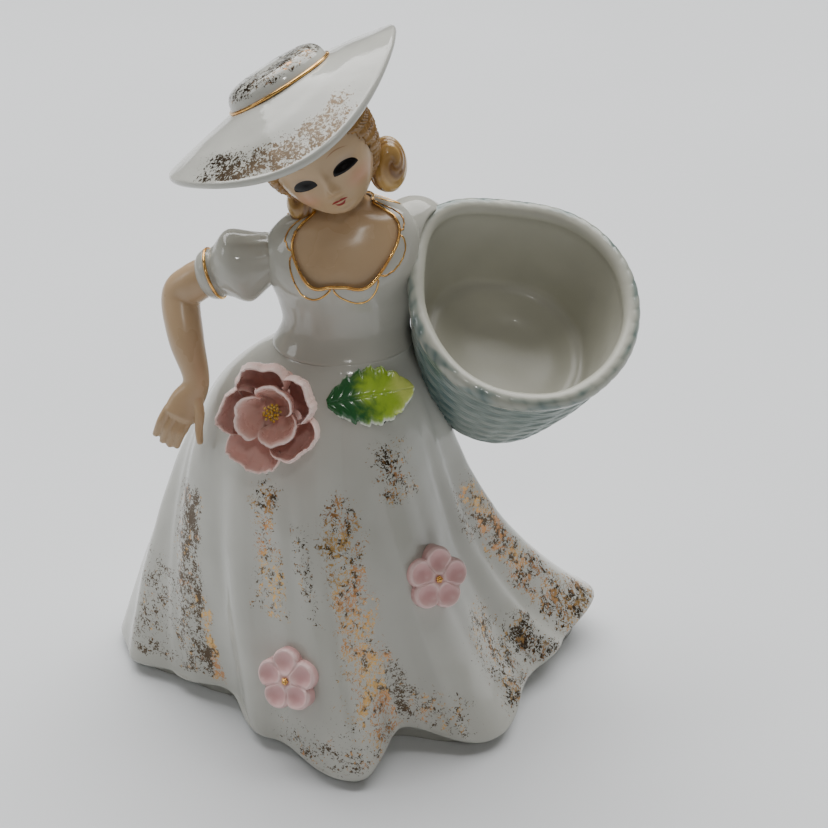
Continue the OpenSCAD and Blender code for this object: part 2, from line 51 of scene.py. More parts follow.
WAIST_H, WAIST_W, WAIST_D = 78, 27, 23
HEM_W, HEM_D = 107, 80
SKIRT_WALL, FOLD_SWIRL, BASE_T = 2.6, 24, 3
SKIRT_X = 1.5
BODICE_H, BODICE_W, BUST_W, BUST_D, BODICE_WALL = 28, 23, 28.4, 21, 2.2
NECKLINE_T = 0.5
HEAD_W, HEAD_D, HEAD_H, NECK_R, HAIR_T, HEAD_LEAN = 20, 19.4, 20.6, 4, 1, 28
CROWN_R, CROWN_H, BRIM_R, BRIM_T, HAT_LEAN = 10, 4, 24.2, 1.5, 31
PUFF_R, ARM_R, WRIST_R = 6.2, 3.5, 2.6
MOUTH_R, FLOOR_R, BASKET_H, BASKET_WALL, RIM_T = 22, 14, 30, 2.4, 3.4
BASKET_LEAN, MOUTH_LEAN = 28, 38
ROSE_R, PETAL_T, LEAF_L, LEAF_T, BLOSSOM_R, BEAD_R = 12, 1, 17, 1.2, 6.5, 0.6
HEM_LIP, FOOT_IN, FOOT_W, LIFT_MIN = 1.2, 4.5, 2.4, 2.6
FOLDS = [(12, 2.5, 9), (38, -4, 6), (60, 2, 3), (82, -4.5, 6), (104, 2, 3), (128, -5, 6),
         (150, -1, 3.5), (171, -0.8, 2.6), (186, -4.5, 3), (198, -12, 4), (216, -15, 5.5),
         (244, -6, 3.4), (273, 4, 2.6), (290, -6.5, 6.5), (312, -0.8, 3), (341, -10, 5),
         (354, -7, 6)]
FOLD_ENDS = FOLDS + [(FOLDS[0][0] + 360, FOLDS[0][1], FOLDS[0][2])]


# ---------- Curves and frames ----------

def cosd(a):
    return math.cos(math.radians(a))


def sind(a):
    return math.sin(math.radians(a))


def mix(a, b, t):
    return a + (b - a) * t


def clamp(x, low=0.0, high=1.0):
    return min(high, max(low, x))


def ease(t):
    return (1 - math.cos(math.pi * clamp(t))) / 2


def ramp(x, low, high):
    """0 below low, 1 above high, and smooth between."""
    return ease((x - low) / (high - low))


def bump(x, middle, half):
    """1 at the middle, falling to nothing a few halves away."""
    return math.exp(-((x - middle) / half) ** 2)


def spline(rows, t):
    last = len(rows) - 1
    i = min(last - 1, max(0, math.floor(t)))
    u = t - i
    p0, p1, p2, p3 = (rows[k] for k in (max(0, i - 1), i, i + 1, min(last, i + 2)))
    return [0.5 * (2 * b + (c - a) * u + (2 * a - 5 * b + 4 * c - d) * u * u
                   + (3 * b - 3 * c + d - a) * u ** 3)
            for a, b, c, d in zip(p0, p1, p2, p3)]


def tilted(origin, front, left):
    """Frame at a point, leaned to the front and then to the lady's left."""
    turned = Matrix.Rotation(math.radians(left), 4, "Y") @ Matrix.Rotation(math.radians(front), 4, "X")
    return Matrix.Translation(Vector(origin)) @ turned


def facing(point, way, proud=0.0):
    """Frame at a point whose last axis is the way the piece faces and whose second runs up."""
    w = Vector(way).normalized()
    u = Vector((0, 0, 1)).cross(w).normalized()
    v = w.cross(u)
    at = Vector(point) + proud * w
    return Matrix(((u.x, v.x, w.x, at.x), (u.y, v.y, w.y, at.y), (u.z, v.z, w.z, at.z), (0, 0, 0, 1)))


def uneven(point, size, depth):
    """Slight hollows of a hand-finished casting."""
    return depth * noise.noise(Vector(point) / size)


# ---------- Making pieces ----------

def finish(name, bm, nodes=()):
    """Turns a bmesh in millimetres into a piece that rides on the body."""
    bmesh.ops.remove_doubles(bm, verts=bm.verts, dist=0.0008)
    bmesh.ops.dissolve_degenerate(bm, dist=0.0004, edges=bm.edges)
    gaps = [e for e in bm.edges if e.is_boundary]
    if gaps:
        bmesh.ops.holes_fill(bm, edges=gaps, sides=0)
    bmesh.ops.recalc_face_normals(bm, faces=bm.faces)
    bmesh.ops.scale(bm, vec=(MM, MM, MM), verts=bm.verts)
    for face in bm.faces:
        face.smooth = True
    mesh = bpy.data.meshes.new(name)
    bm.to_mesh(mesh)
    bm.free()
    piece = bpy.data.objects.new(name, mesh)
    bpy.context.scene.collection.objects.link(piece)
    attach(piece, "root")
    if nodes:
        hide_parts(*nodes)
    return piece


def add_sheet(bm, around, along, shape, marks=(), placed=None):
    """Adds a grid whose points go to shape(u, v), u and v from 0 to 1, with marks painted on it."""
    flow = bm.loops.layers.uv.verify()
    layers = [bm.verts.layers.float.get(m) or bm.verts.layers.float.new(m) for m in marks]
    made = bmesh.ops.create_grid(bm, x_segments=around, y_segments=along, size=1, calc_uvs=True)["verts"]
    for vert in made:
        u, v = (vert.co.x + 1) / 2, (vert.co.y + 1) / 2
        for loop in vert.link_loops:
            loop[flow].uv = (u, v)
        where = shape(u, v)
        if layers:
            where, values = where
            for layer, value in zip(layers, values):
                vert[layer] = value
        vert.co = placed @ Vector(where) if placed else Vector(where)
    return made


def add_bar(bm, rows, around, along, dent=None):
    """Adds a round bar through rows of (x, y, z, radius across, radius through), ends rounded shut."""
    last = len(rows) - 1
    first = Vector(spline(rows, 0.02)[:3]) - Vector(spline(rows, 0)[:3])
    lead = Vector((0, 1, 0)).cross(first.normalized())

    def shape(u, v):
        cap = 0.06
        t = clamp((v - cap) / (1 - 2 * cap)) * last
        p = spline(rows, t)
        way = (Vector(spline(rows, min(last, t + 0.02))[:3])
               - Vector(spline(rows, max(0, t - 0.02))[:3])).normalized()
        across = Vector((0, 1, 0)).cross(way)
        across = across.normalized() if across.length > 0.2 else lead
        through = way.cross(across)
        swell, back = 1.0, 0.0
        if v < cap:
            swell, back = sind(90 * v / cap), -cosd(90 * v / cap)
        elif v > 1 - cap:
            swell, back = sind(90 * (1 - v) / cap), cosd(90 * (1 - v) / cap)
        a = 360 * u
        push = dent(a, v) if dent else 0.0
        return (Vector(p[:3]) + across * ((p[3] + push) * swell * cosd(a))
                + through * ((p[4] + push) * swell * sind(a)) + way * (back * 0.6 * min(p[3], p[4])))
    add_sheet(bm, around, along, shape)


def add_cord(bm, path, radius, around=8, flat=1.0, out=None):
    """Adds a closed or open cord of constant radius through many points."""
    closed = (path[0] - path[-1]).length < 0.01
    n = len(path) - 1

    def shape(u, v):
        i = min(n - 1, int(v * n))
        f = v * n - i
        p = path[i].lerp(path[i + 1], f)
        before = path[(i - 1) % n] if closed else path[max(0, i - 1)]
        after = path[(i + 2) % n] if closed else path[min(n, i + 2)]
        way = (after - before).normalized()
        outward = out(p) if out else Vector((0, 0, 1))
        side = way.cross(outward).normalized()
        up = side.cross(way)
        end = 1.0 if closed else clamp(math.sin(math.pi * v) * n / 3)
        return p + side * radius * end * cosd(360 * u) + up * radius * flat * end * sind(360 * u)
    add_sheet(bm, around, n, shape)


# ---------- Skirt ----------

def oval(a, half_w, half_d):
    return 1 / math.hypot(cosd(a) / half_w, sind(a) / half_d)


def fold_at(a):
    b = FOLDS[0][0] + (a - FOLDS[0][0]) % 360
    j = max(k for k in range(len(FOLDS)) if FOLD_ENDS[k][0] <= b)
    low, high = FOLD_ENDS[j], FOLD_ENDS[j + 1]
    u = ease((b - low[0]) / (high[0] - low[0]))
    return mix(low[1], high[1], u), mix(low[2], high[2], u)


def skirt_point(a, s, grow=0.0):
    fold, lift = fold_at(a + FOLD_SWIRL * (1 - s))
    train = 0.6 * max(0, cosd(a - 8)) ** 1.5
    spread = mix(0.68, 0.55, max(0, -cosd(a)) ** 0.7)
    gather = 1 - math.exp(-s / 0.04)
    flare = gather * mix(s ** spread, s ** 3, train) if s > 0 else 0
    r = mix(oval(a, WAIST_W / 2, WAIST_D / 2), oval(a, HEM_W / 2, HEM_D / 2), flare)
    r += fold * s ** 1.3 + grow
    return SKIRT_X + r * cosd(a), r * sind(a), mix(WAIST_H, lift, s)


# Gilding along the folds: middle and half width in degrees round the hem, start and end
# from waist to hem, how thick it lies, and how dark it has fired.
GILDING = [(208, 9, 0.38, 0.97, 0.72, 0.7), (210.8, 2, 0.38, 0.97, 0.95, 1.0),
           (214, 3.5, 0.72, 0.98, 0.85, 0.15),
           (193, 8, 0.64, 0.97, 0.52, 0.75), (253, 7.5, 0.25, 0.62, 0.66, 0.35),
           (269, 3, 0.34, 0.6, 0.5, 0.6), (284, 8.5, 0.29, 0.99, 0.78, 0.2),
           (291, 5, 0.8, 0.97, 0.85, 0.85), (315, 13, 0.17, 0.33, 0.66, 0.45),
           (4.5, 7, 0.42, 1.0, 0.8, 0.35), (354, 5, 0.4, 0.62, 0.62, 0.8),
           (333, 11, 0.74, 1.0, 0.74, 0.45), (349, 6, 0.84, 1.0, 0.8, 0.5),
           (290, 20, 0.84, 0.99, 0.66, 0.5), (262, 16, 0.88, 0.99, 0.55, 0.6),
           (30, 7, 0.4, 0.95, 0.6, 0.3), (60, 7, 0.35, 0.9, 0.65, 0.4),
           (104, 8, 0.3, 0.95, 0.66, 0.4), (150, 8, 0.35, 0.95, 0.66, 0.5)]


# Creases that the modeller cut between the folds: middle, half width, depth.
CREASES = [(202, 3, 0.5), (229, 7, 0.9), (264, 4, 0.45), (276, 2.5, -0.4), (300, 4, 0.6),
           (306, 2, -0.35), (323, 5, 0.6), (345, 4, 0.5), (20, 5, 0.6), (45, 5, 0.5),
           (75, 6, 0.5), (120, 6, 0.6), (165, 5, 0.5)]


def gilding_at(a, s):
    drift = noise.noise(Vector((cosd(a) * 7, sind(a) * 7, s * 9)))
    clump = 0.92 + 0.4 * noise.noise(Vector((cosd(a) * 11, sind(a) * 11, s * 16 + 3)))
    around = a + FOLD_SWIRL * (1 - s) + 4 * drift
    thick, dark = 0.0, 0.0
    for middle, half, start, end, most, tone in GILDING:
        off = (around - middle + 180) % 360 - 180
        if abs(off) > 3 * half:
            continue
        here = most * math.exp(-(off / half) ** 4) * ramp(s, start - 0.03, start + 0.05)
        here *= clump * (1 - ramp(s, end - 0.01, end + 0.02))
        if here > thick:
            thick, dark = here, tone
    return thick, dark


def make_skirt():
    outside = [("out", (k / 150) ** 1.15) for k in range(151)]
    lip = [("lip", k / 6) for k in range(1, 7)]
    foot = [("foot", k) for k in range(5)]
    inside = [("in", 0.94 * (1 - k / 12)) for k in range(13)]
    rows = outside + lip + foot + inside
    rows.append(rows[0])
    foot_rows = [(-FOOT_IN, LIFT_MIN - 0.4), (-FOOT_IN, 0.25), (-FOOT_IN - 0.25, 0),
                 (-FOOT_IN - FOOT_W, 0), (-FOOT_IN - FOOT_W, BASE_T)]

    def shape(u, v):
        part, t = rows[round(v * (len(rows) - 1))]
        a = 360 * u
        if part == "out":
            x, y, z = skirt_point(a, t)
            turned = a + FOLD_SWIRL * (1 - t)
            groove = sum(deep * bump((turned - middle + 180) % 360 - 180, 0, half)
                         for middle, half, deep in CREASES) * ramp(t, 0.08, 0.45)
            push = uneven((x, y, z), 9, 0.22) + uneven((x, y, z), 4, 0.06) - groove
            out = push * ramp(t, 0.02, 0.2)
            return (x + out * cosd(a), y + out * sind(a), z), gilding_at(a, t)
        if part == "lip":
            x, y, z = skirt_point(a, 1, -HEM_LIP * (1 - cosd(90 * t)))
            return (x, y, z - 0.9 * sind(90 * t)), (0, 0)
        if part == "foot":
            back, height = foot_rows[t]
            x, y, _ = skirt_point(a, 1, back)
            return (x, y, height), (0, 0)
        x, y, z = skirt_point(a, t, -SKIRT_WALL)
        return (x, y, z + SKIRT_WALL * min(1, 8 * t) * (1 - t)), (0, 0)
    bm = bmesh.new()
    add_sheet(bm, 480, len(rows) - 1, shape, ("gild", "fired"))
    return finish("skirt_casting", bm, ("skirt",))


# ---------- Bodice, chest and neck ----------

SHOULDER_RISE = 1.6
BODY_TOP, BODY_STEPS = 1.04, 400
BODY = [(0, WAIST_W / 2, WAIST_D / 2, 1, 0), (0.16, BODICE_W / 2, WAIST_D * 0.4, 1, 0),
        (0.34, mix(BODICE_W, BUST_W, 0.3) / 2, BUST_D * 0.45, 1.1, -0.2),
        (0.55, BUST_W / 2, BUST_D / 2, 1.2, -0.6), (0.76, BUST_W * 0.52, BUST_D * 0.44, 1.4, 0),
        (0.91, BUST_W * 0.43, BUST_D * 0.35, 1.8, 0.6), (1, NECK_R * 1.75, NECK_R * 1.35, 2, 0.9),
        (BODY_TOP, NECK_R * 1.15, NECK_R * 1.1, 2, 1)]
NECK_ROOT = Vector((1.8, 1, WAIST_H + BODICE_H))
NECKLINE_LOW = WAIST_H + 0.6 * BODICE_H
NECKLINE_SLOPE = 53
HEAD_AT = tilted(NECK_ROOT + Vector((-3.4, -3.5, 11.8)), 8, -HEAD_LEAN)
CHIN_DROP = 10.4
HEAD_TOP = HEAD_H - CHIN_DROP


def body_row(h):
    """Section of the body at a height from 0 at the waist to BODY_TOP at the neck."""
    t = 0
    while t < len(BODY) - 1 and BODY[t + 1][0] < h:
        t += 1
    low, high = t, t + 1
    for _ in range(24):
        middle = (low + high) / 2
        if spline(BODY, middle)[0] < h:
            low = middle
        else:
            high = middle
    return spline(BODY, low)


BODY_ROWS = [body_row(k / BODY_STEPS * BODY_TOP) for k in range(BODY_STEPS + 1)]


def body_point(a, h, grow=0.0):
    k = clamp(h / BODY_TOP) * BODY_STEPS
    i = min(BODY_STEPS - 1, int(k))
    b = [mix(p, q, k - i) for p, q in zip(BODY_ROWS[i], BODY_ROWS[i + 1])]
    x = (b[1] + grow) * cosd(a)
    y = (b[2] + grow) * sind(a)
    bust = 0.75 * bump(h, 0.56, 0.14) * (bump(a, 248, 15) + bump(a, 292, 15) - 0.6 * bump(a, 270, 9))
    return Vector((b[3] + x, b[4] + y - max(0, bust),
                   WAIST_H + h * BODICE_H + SHOULDER_RISE * h * h * x / 14))


def above_neckline(p):
    in_front = p.z > NECKLINE_LOW + (p.y + BUST_D / 2) * math.tan(math.radians(NECKLINE_SLOPE))
    at_neck = math.hypot(p.x - NECK_ROOT.x, p.y - NECK_ROOT.y) < NECK_R * 1.5
    return in_front or (at_neck and p.z > NECK_ROOT.z - 3.4)


def neckline_height(a):
    """Height on the body at which the dress ends, at angle a."""
    h = 0.4
    while h < 1.03 and not above_neckline(body_point(a, h)):
        h += 0.004
    return h


NECKLINE = [neckline_height(a) for a in range(360)]


def neckline_at(a):
    total, weight = 0.0, 0.0
    for k in range(-7, 8):
        w = math.exp(-(k / 4) ** 2)
        total += w * NECKLINE[round(a + k) % 360]
        weight += w
    return total / weight


def make_bodice():
    up = [("out", k / 90) for k in range(91)]
    inside = [("in", 1), ("in", 0.97), ("in", 0.9), ("low", 0.25), ("low", 0)]
    rows = up + inside
    rows.append(rows[0])

    def shape(u, v):
        part, t = rows[round(v * (len(rows) - 1))]
        a = 360 * u
        top = neckline_at(a)
        if part == "out":
            h = mix(-0.015, top, t)
            p = body_point(a, h)
            crease = 0.22 * bump(a - 40 * (h - 0.3), 236, 5) * bump(h, 0.34, 0.16)
            crease += 0.18 * bump(a + 55 * (h - 0.25), 300, 5) * bump(h, 0.3, 0.14)
            seam = 0.08 * bump(h, 0.0, 0.03)
            hip = 2.8 * bump((a + 180) % 360 - 180, 0, 26) * bump(h, 0.3, 0.27)
            push = seam - crease + hip + uneven(p, 5, 0.1)
            return clear_of_basket(p + Vector((cosd(a), sind(a), 0)) * push)
        if part == "in":
            return body_point(a, mix(0.4, top, t), -NECKLINE_T)
        return body_point(a, t, -BODICE_WALL)
    bm = bmesh.new()
    add_sheet(bm, 260, len(rows) - 1, shape)
    return finish("bodice_casting", bm, ("bodice",))


def make_chest():
    neck_top = HEAD_AT @ Vector((0, 1, -4))
    rows = []
    for h in (0.36, 0.5, 0.66, 0.8, 0.9, 0.97):
        b = body_row(h)
        rows.append((b[3], b[4], WAIST_H + h * BODICE_H, b[1] - NECKLINE_T + 0.12,
                     b[2] - NECKLINE_T + 0.12, SHOULDER_RISE * h * h / 14))
    rows.append((1.9, 1, NECK_ROOT.z + 0.7, NECK_R * 1.22, NECK_R * 1.14, 0.05))
    rows.append((1.4, 0.5, NECK_ROOT.z + 3, NECK_R * 1.02, NECK_R, 0))
    rows.append((*mix(NECK_ROOT, neck_top, 0.6), NECK_R * 0.98, NECK_R * 0.98, -0.2))
    rows.append((*neck_top, NECK_R, NECK_R, -0.4))

    def shape(u, v):
        a = 360 * u
        x, y, z, half_w, half_d, rise = spline(rows, v * (len(rows) - 1))
        p = Vector((x + half_w * cosd(a), y + half_d * sind(a), z + rise * half_w * cosd(a)))
        height = (z - WAIST_H) / BODICE_H
        bone = 0.28 * bump(height, 0.93, 0.03) * (bump(a, 232, 16) + bump(a, 308, 16))
        hollow = (0.5 * bump(height, 0.95, 0.05) * bump(a, 270, 9)
                  + 0.3 * bump(height, 0.6, 0.12) * bump(a, 270, 8))
        return p + Vector((cosd(a), sind(a), 0)) * (bone - hollow)
    bm = bmesh.new()
    add_sheet(bm, 160, 90, shape)
    return finish("chest", bm, ("chest_and_neck",))


# ---------- Head: a plain doll's face ----------

HEAD = [(-CHIN_DROP, 0.4, 0.4, 4.2), (-CHIN_DROP * 0.95, 3, 2.8, 4), (-CHIN_DROP * 0.78, 5.6, 5.4, 3),
        (-CHIN_DROP * 0.48, 8.1, 8, 1.3), (-1, HEAD_W * 0.485, HEAD_D * 0.485, 0.4),
        (3.4, HEAD_W / 2, HEAD_D / 2, 0), (7.6, HEAD_W * 0.46, HEAD_D * 0.46, 0),
        (HEAD_TOP, HEAD_W * 0.36, HEAD_D * 0.36, 0)]
EYE_X, EYE_Z, BROW_Z, NOSE_Z, MOUTH_Z = 4.1, -0.9, 2.2, -3.9, -6.3


def head_point(a, t, grow=0.0):
    """Point of the head in its own frame, at angle a and at t from the chin to the seat."""
    h, half_w, half_d, fwd = spline(HEAD, t)
    return Vector(((half_w + grow) * cosd(a), (half_d + grow) * sind(a) - fwd, h))


def face_relief(x, z):
    """How far the face stands forward of the plain head."""
    nose = 1.25 * bump(x, 0, 0.85) * bump(z, NOSE_Z + 0.5, 1.0) + 0.55 * bump(x, 0, 0.75) * bump(z, -1.4, 2.0)
    wings = 0.35 * (bump(x, 0.95, 0.55) + bump(x, -0.95, 0.55)) * bump(z, NOSE_Z - 0.2, 0.6)
    sockets = -0.55 * (bump(x, EYE_X, 2.2) + bump(x, -EYE_X, 2.2)) * bump(z, EYE_Z + 0.7, 1.3)
    lids = 0.5 * (bump(x, EYE_X, 1.9) + bump(x, -EYE_X, 1.9)) * bump(z, EYE_Z - 0.1, 0.9)
    cheeks = 0.4 * (bump(x, 5.2, 2.4) + bump(x, -5.2, 2.4)) * bump(z, -4.2, 1.9)
    lips = 0.42 * bump(x, 0, 1.5) * (bump(z, MOUTH_Z + 0.45, 0.42) + bump(z, MOUTH_Z - 0.5, 0.5))
    under = -0.3 * bump(x, 0, 1.8) * bump(z, MOUTH_Z - 1.5, 0.6)
    chin = 0.55 * bump(x, 0, 1.9) * bump(z, -8.6, 1.0)
    return nose + wings + sockets + lids + cheeks + lips + under + chin


def make_head():
    def shape(u, v):
        a = 270 + 360 * (u - 0.5) - 26 * sind(720 * (u - 0.5)) * (1 if abs(u - 0.5) < 0.25 else 0.4)
        t = v * (len(HEAD) - 1)
        p = head_point(a, t)
        front = ramp(-p.y, 1.5, 6)
        if t > 0.35:
            p.y -= face_relief(p.x, p.z) * front
        return p
    bm = bmesh.new()
    add_sheet(bm, 220, 200, shape, placed=HEAD_AT)
    return finish("head_casting", bm, ("head",))


HAIRLINE = [(-12.5, 92), (-8, 90), (-5, 80), (-2, 68), (1.5, 58), (4.5, 45), (7, 26), (9, 8), (11, 4)]


def hairline_at(z):
    """Half the angle, round from the nose, that the face leaves bare at a height."""
    k = 0
    while k < len(HAIRLINE) - 2 and HAIRLINE[k + 1][0] < z:
        k += 1
    low, high = HAIRLINE[k], HAIRLINE[k + 1]
    return mix(low[1], high[1], clamp((z - low[0]) / (high[0] - low[0])))


def make_hair():
    rows = [("out", k / 70) for k in range(71)] + [("in", 1 - k / 10) for k in range(11)]
    rows.append(rows[0])

    def shape(u, v):
        part, t = rows[round(v * (len(rows) - 1))]
        level = mix(1.6, len(HEAD) - 1.02, t)
        z = spline(HEAD, level)[0]
        bare = hairline_at(z) + 2.2 * math.sin(z * 3.1) + 1.2 * math.sin(z * 7.7 + 1)
        edge = clamp(min(u, 1 - u) * 14)
        a = 270 + mix(bare, 360 - bare, u)
        if part == "in":
            return head_point(a, level, 0.02)
        flow = 26 * (a / 360 * 6.283 * 3) + 1.1 * t * (8 if a > 450 else -8)
        lock = 0.16 * math.sin(flow) + 0.09 * math.sin(2.3 * flow + 1.3) + uneven((a / 7, t * 6, 3), 1, 0.25)
        wave = 0.35 * math.sin(7 * t + 0.02 * a)
        thick = (HAIR_T + 0.25 + wave * 0.4) * math.sin(edge * math.pi / 2) ** 0.6 + lock * edge
        low = ramp(t, 0.0, 0.14)
        return head_point(a, level, 0.02 + max(0.0, thick) * low)
    bm = bmesh.new()
    add_sheet(bm, 260, len(rows) - 1, shape, placed=HEAD_AT)
    return finish("hair_cap", bm, ("hair",))


def make_roll(name, node, at, size, side):
    """Hair turned under into a roll, with the curl's heart facing forward and a little out."""
    turn = Vector((0.35 * side, -0.85, 0.3)).to_track_quat("Z", "Y").to_matrix().to_4x4()
    middle = Matrix.Translation(HEAD_AT @ Vector(at))

    def shape(u, v):
        q, p = 360 * u, 180 * v
        wound = q - 4.5 * p if side > 0 else -q - 4.5 * p
        spiral = cosd(wound)
        strands = math.sin(math.radians(4 * wound) + 0.6)
        fade = max(0.0, sind(p)) ** 0.5
        r = 1 + (0.035 * spiral + 0.01 * strands) * fade - 0.1 * bump(p, 0, 18)
        ball = Vector((sind(p) * cosd(q), sind(p) * sind(q), cosd(p))) * r
        turned = turn @ ball
        # Painted light and shade for the curl paint: lighter towards the top of the roll and darker in the
        # spiral groove, with fine strand strokes between.
        lit = clamp(0.62 + 0.3 * spiral + 0.12 * strands + 0.15 * turned.z)
        # The heart mark is painted shade in the dent at the middle of the curl.
        return (turned.x * size[0], turned.y * size[1], turned.z * size[2]), (lit, bump(p, 0, 26))
    bm = bmesh.new()
    add_sheet(bm, 110, 70, shape, ("lit", "heart"), placed=middle)
    return finish(name, bm, (node,))


# ---------- Hat ----------

HAT_AT = tilted(HEAD_AT @ Vector((0, 0, HEAD_TOP + 0.02)), -7, -HAT_LEAN)
CROWN_UP, BRIM_DROP, BRIM_DIP, BRIM_SHIFT = 4.4, 3.6, 3.2, 1.5
BRIM_WAVES = [(0.7, -2.3), (-0.35, -0.95), (-0.5, 0.85)]


def hat_point(a, r, z, p):
    fall = BRIM_DROP - 0.9 * cosd(a) + BRIM_DIP * max(0, -sind(a)) ** 1.3
    fall += 0.5 * BRIM_DIP * max(0, sind(a)) ** 1.3 - 1.05
    fall += sum(c * cosd((k + 1) * a) + s * sind((k + 1) * a) for k, (c, s) in enumerate(BRIM_WAVES))
    return Vector((r * cosd(a) - BRIM_SHIFT * p, r * sind(a), z - fall * p ** 1.25))


def make_hat():
    rows = [("crown", k / 40) for k in range(41)]
    rows += [("brim", k / 60) for k in range(1, 61)]
    rows += [("edge", k / 8) for k in range(1, 9)]
    rows += [("under", 1 - k / 30) for k in range(31)]
    rows += [("hollow", k / 4) for k in range(1, 5)]
    profile = [(0, 1.03), (0.18, 1.03), (0.4, 1.01), (0.6, 0.985), (0.75, 0.93), (0.87, 0.8),
               (0.95, 0.58), (0.985, 0.34), (1.0, 0.14), (1.02, 0.0)]

    def shape(u, v):
        part, t = rows[round(v * (len(rows) - 1))]
        a = 360 * u
        if part == "crown":
            share, up = spline(profile, t * (len(profile) - 1))
            pinch = 0.35 * bump(share, 0.45, 0.25) * bump(a, 285, 40)
            p = hat_point(a, CROWN_R * max(0, share), CROWN_UP + CROWN_H * up - pinch, 0)
            speck = ramp(up, 0.3, 0.62) * (0.66 - 0.25 * bump(a, 120, 50)) * ramp(share, 0.1, 0.3)
            return p, (speck, 0.75)
        if part == "brim":
            foot = 0.5 * math.exp(-t / 0.05)
            p = hat_point(a, mix(CROWN_R, BRIM_R - 0.3, t), CROWN_UP + foot * 0.6, t)
            ridge = 0.22 * bump(t, 0.55 + 0.12 * sind(a * 2), 0.12) * max(0, -sind(a))
            p.z += ridge + uneven(p, 6, 0.16)
            front = ramp(a, 214, 238) * (1 - ramp(a, 296, 328))
            zone = 0.82 * front * ramp(t, 0.52, 0.74) * (1 - ramp(t, 0.985, 1.02))
            back = (0.6 * ramp(a, 40, 60) * (1 - ramp(a, 120, 140))
                    * ramp(t, 0.6, 0.8) * (1 - ramp(t, 0.97, 1.0)))
            return p, (max(zone, back), 1.7)
        if part == "edge":
            r = BRIM_R - 0.3 + 0.6 * sind(180 * t)
            return hat_point(a, r - 0.3 * t, CROWN_UP - BRIM_T * 0.5 * (1 - cosd(180 * t)), 1), (0, 0)
        if part == "under":
            p = hat_point(a, mix(CROWN_R * 0.8, BRIM_R - 0.6, t), CROWN_UP - mix(2.6, BRIM_T, t), t)
            return p, (0, 0)
        return hat_point(a, CROWN_R * 0.8 * (1 - t), CROWN_UP - 2.6 - 0.8 * t, 0), (0, 0)
    bm = bmesh.new()
    add_sheet(bm, 300, len(rows) - 1, shape, ("gild", "fired"), placed=HAT_AT)
    return finish("hat_casting", bm, ("hat",))


# ---------- Sleeves and arms ----------

SHOULDER_RIGHT = Vector((-12.4, 0, WAIST_H + 17.6))
PUFF_AT = Vector((-17.8, 0, WAIST_H + 15.8))
CUFF_AT = Vector((-23.8, 0.4, WAIST_H + 13.6))
ELBOW_AT = Vector((-30.2, 1, WAIST_H + 8.4))
FOREARM_AT = Vector((-29.2, -3, WAIST_H + 1.5))
WRIST_AT = Vector((-27.4, -6, WAIST_H - 6.2))
KNUCKLE_AT = Vector((-31.2, -8.4, WAIST_H - 14))
SLEEVE_LEFT_AT = Vector((16, 8.5, WAIST_H + 19.6))
ELBOW_LEFT_AT = Vector((23, 17, WAIST_H + 13.5))
HAND_LEFT_AT = Vector((36, 18.6, WAIST_H + 9))


def gathers(a, v):
    """Small pleats where a puff is drawn in, at both ends of it."""
    drawn = ramp(v, 0.5, 0.68) * (1 - ramp(v, 0.7, 0.76)) + (1 - ramp(v, 0.05, 0.25))
    puff = 0.55 * bump(v, 0.4, 0.16) - 0.5 * bump(v, 0.74, 0.045) + 0.15 * bump(v, 0.9, 0.05)
    return 0.12 * drawn * cosd(11 * a) + puff


def make_sleeve_right():
    rows = [(*SHOULDER_RIGHT, PUFF_R * 0.75, PUFF_R * 0.8), (*PUFF_AT, PUFF_R * 1.1, PUFF_R),
            (*mix(PUFF_AT, CUFF_AT, 0.62), PUFF_R * 0.84, PUFF_R * 0.8),
            (*CUFF_AT, PUFF_R * 0.8, PUFF_R * 0.78)]
    bm = bmesh.new()
    add_bar(bm, rows, 120, 90, gathers)
    return finish("puff_sleeve_right", bm, ("sleeve_right",))


def clear_of_basket(p):
    """Pushes a point that would stand inside the basket out to just past its wall."""
    q = BASKET_FRAME.inverted() @ p
    t = (q.z + BASKET_H) / BASKET_H
    far = math.hypot(q.x, q.y)
    if t < 0 or t > 1.25 or far < 2:
        return p
    a = math.degrees(math.atan2(q.y, q.x))
    wall = mix(FLOOR_R, MOUTH_R * mouth_reach(a), min(1, t)) + 0.8 * sind(180 * min(1, t)) - 0.9
    if far >= wall:
        return p
    return BASKET_FRAME @ Vector((q.x * wall / far, q.y * wall / far, q.z))


def make_sleeve_left():
    rows = [(11, 1.6, WAIST_H + 20.6, PUFF_R * 0.9, PUFF_R * 0.85),
            (*SLEEVE_LEFT_AT, PUFF_R, PUFF_R * 0.95),
            (*mix(SLEEVE_LEFT_AT, ELBOW_LEFT_AT, 0.5), PUFF_R * 0.72, PUFF_R * 0.7)]
    bm = bmesh.new()
    add_bar(bm, rows, 120, 70, gathers)
    for vert in bm.verts:
        vert.co = clear_of_basket(vert.co)
    return finish("puff_sleeve_left", bm, ("sleeve_left",))


def fused(name, bm, node, voxel):
    """Melts overlapping forms into one skin."""
    piece = finish(name, bm, (node,))
    melt = piece.modifiers.new("melt", "REMESH")
    melt.mode = "VOXEL"
    melt.voxel_size = voxel * MM
    soft = piece.modifiers.new("soften", "SMOOTH")
    soft.factor = 0.5
    soft.iterations = 5
    bpy.context.view_layer.update()
    melted = bpy.data.meshes.new_from_object(piece.evaluated_get(bpy.context.evaluated_depsgraph_get()))
    piece.modifiers.clear()
    piece.data = melted
    for polygon in melted.polygons:
        polygon.use_smooth = True
    return piece


def add_finger(bm, points, radius):
    rows = [(*Vector(p), radius * f, radius * f * 0.92)
            for p, f in zip(points, (1.0, 1.04, 0.92, 0.74))]
    add_bar(bm, rows, 16, 24)


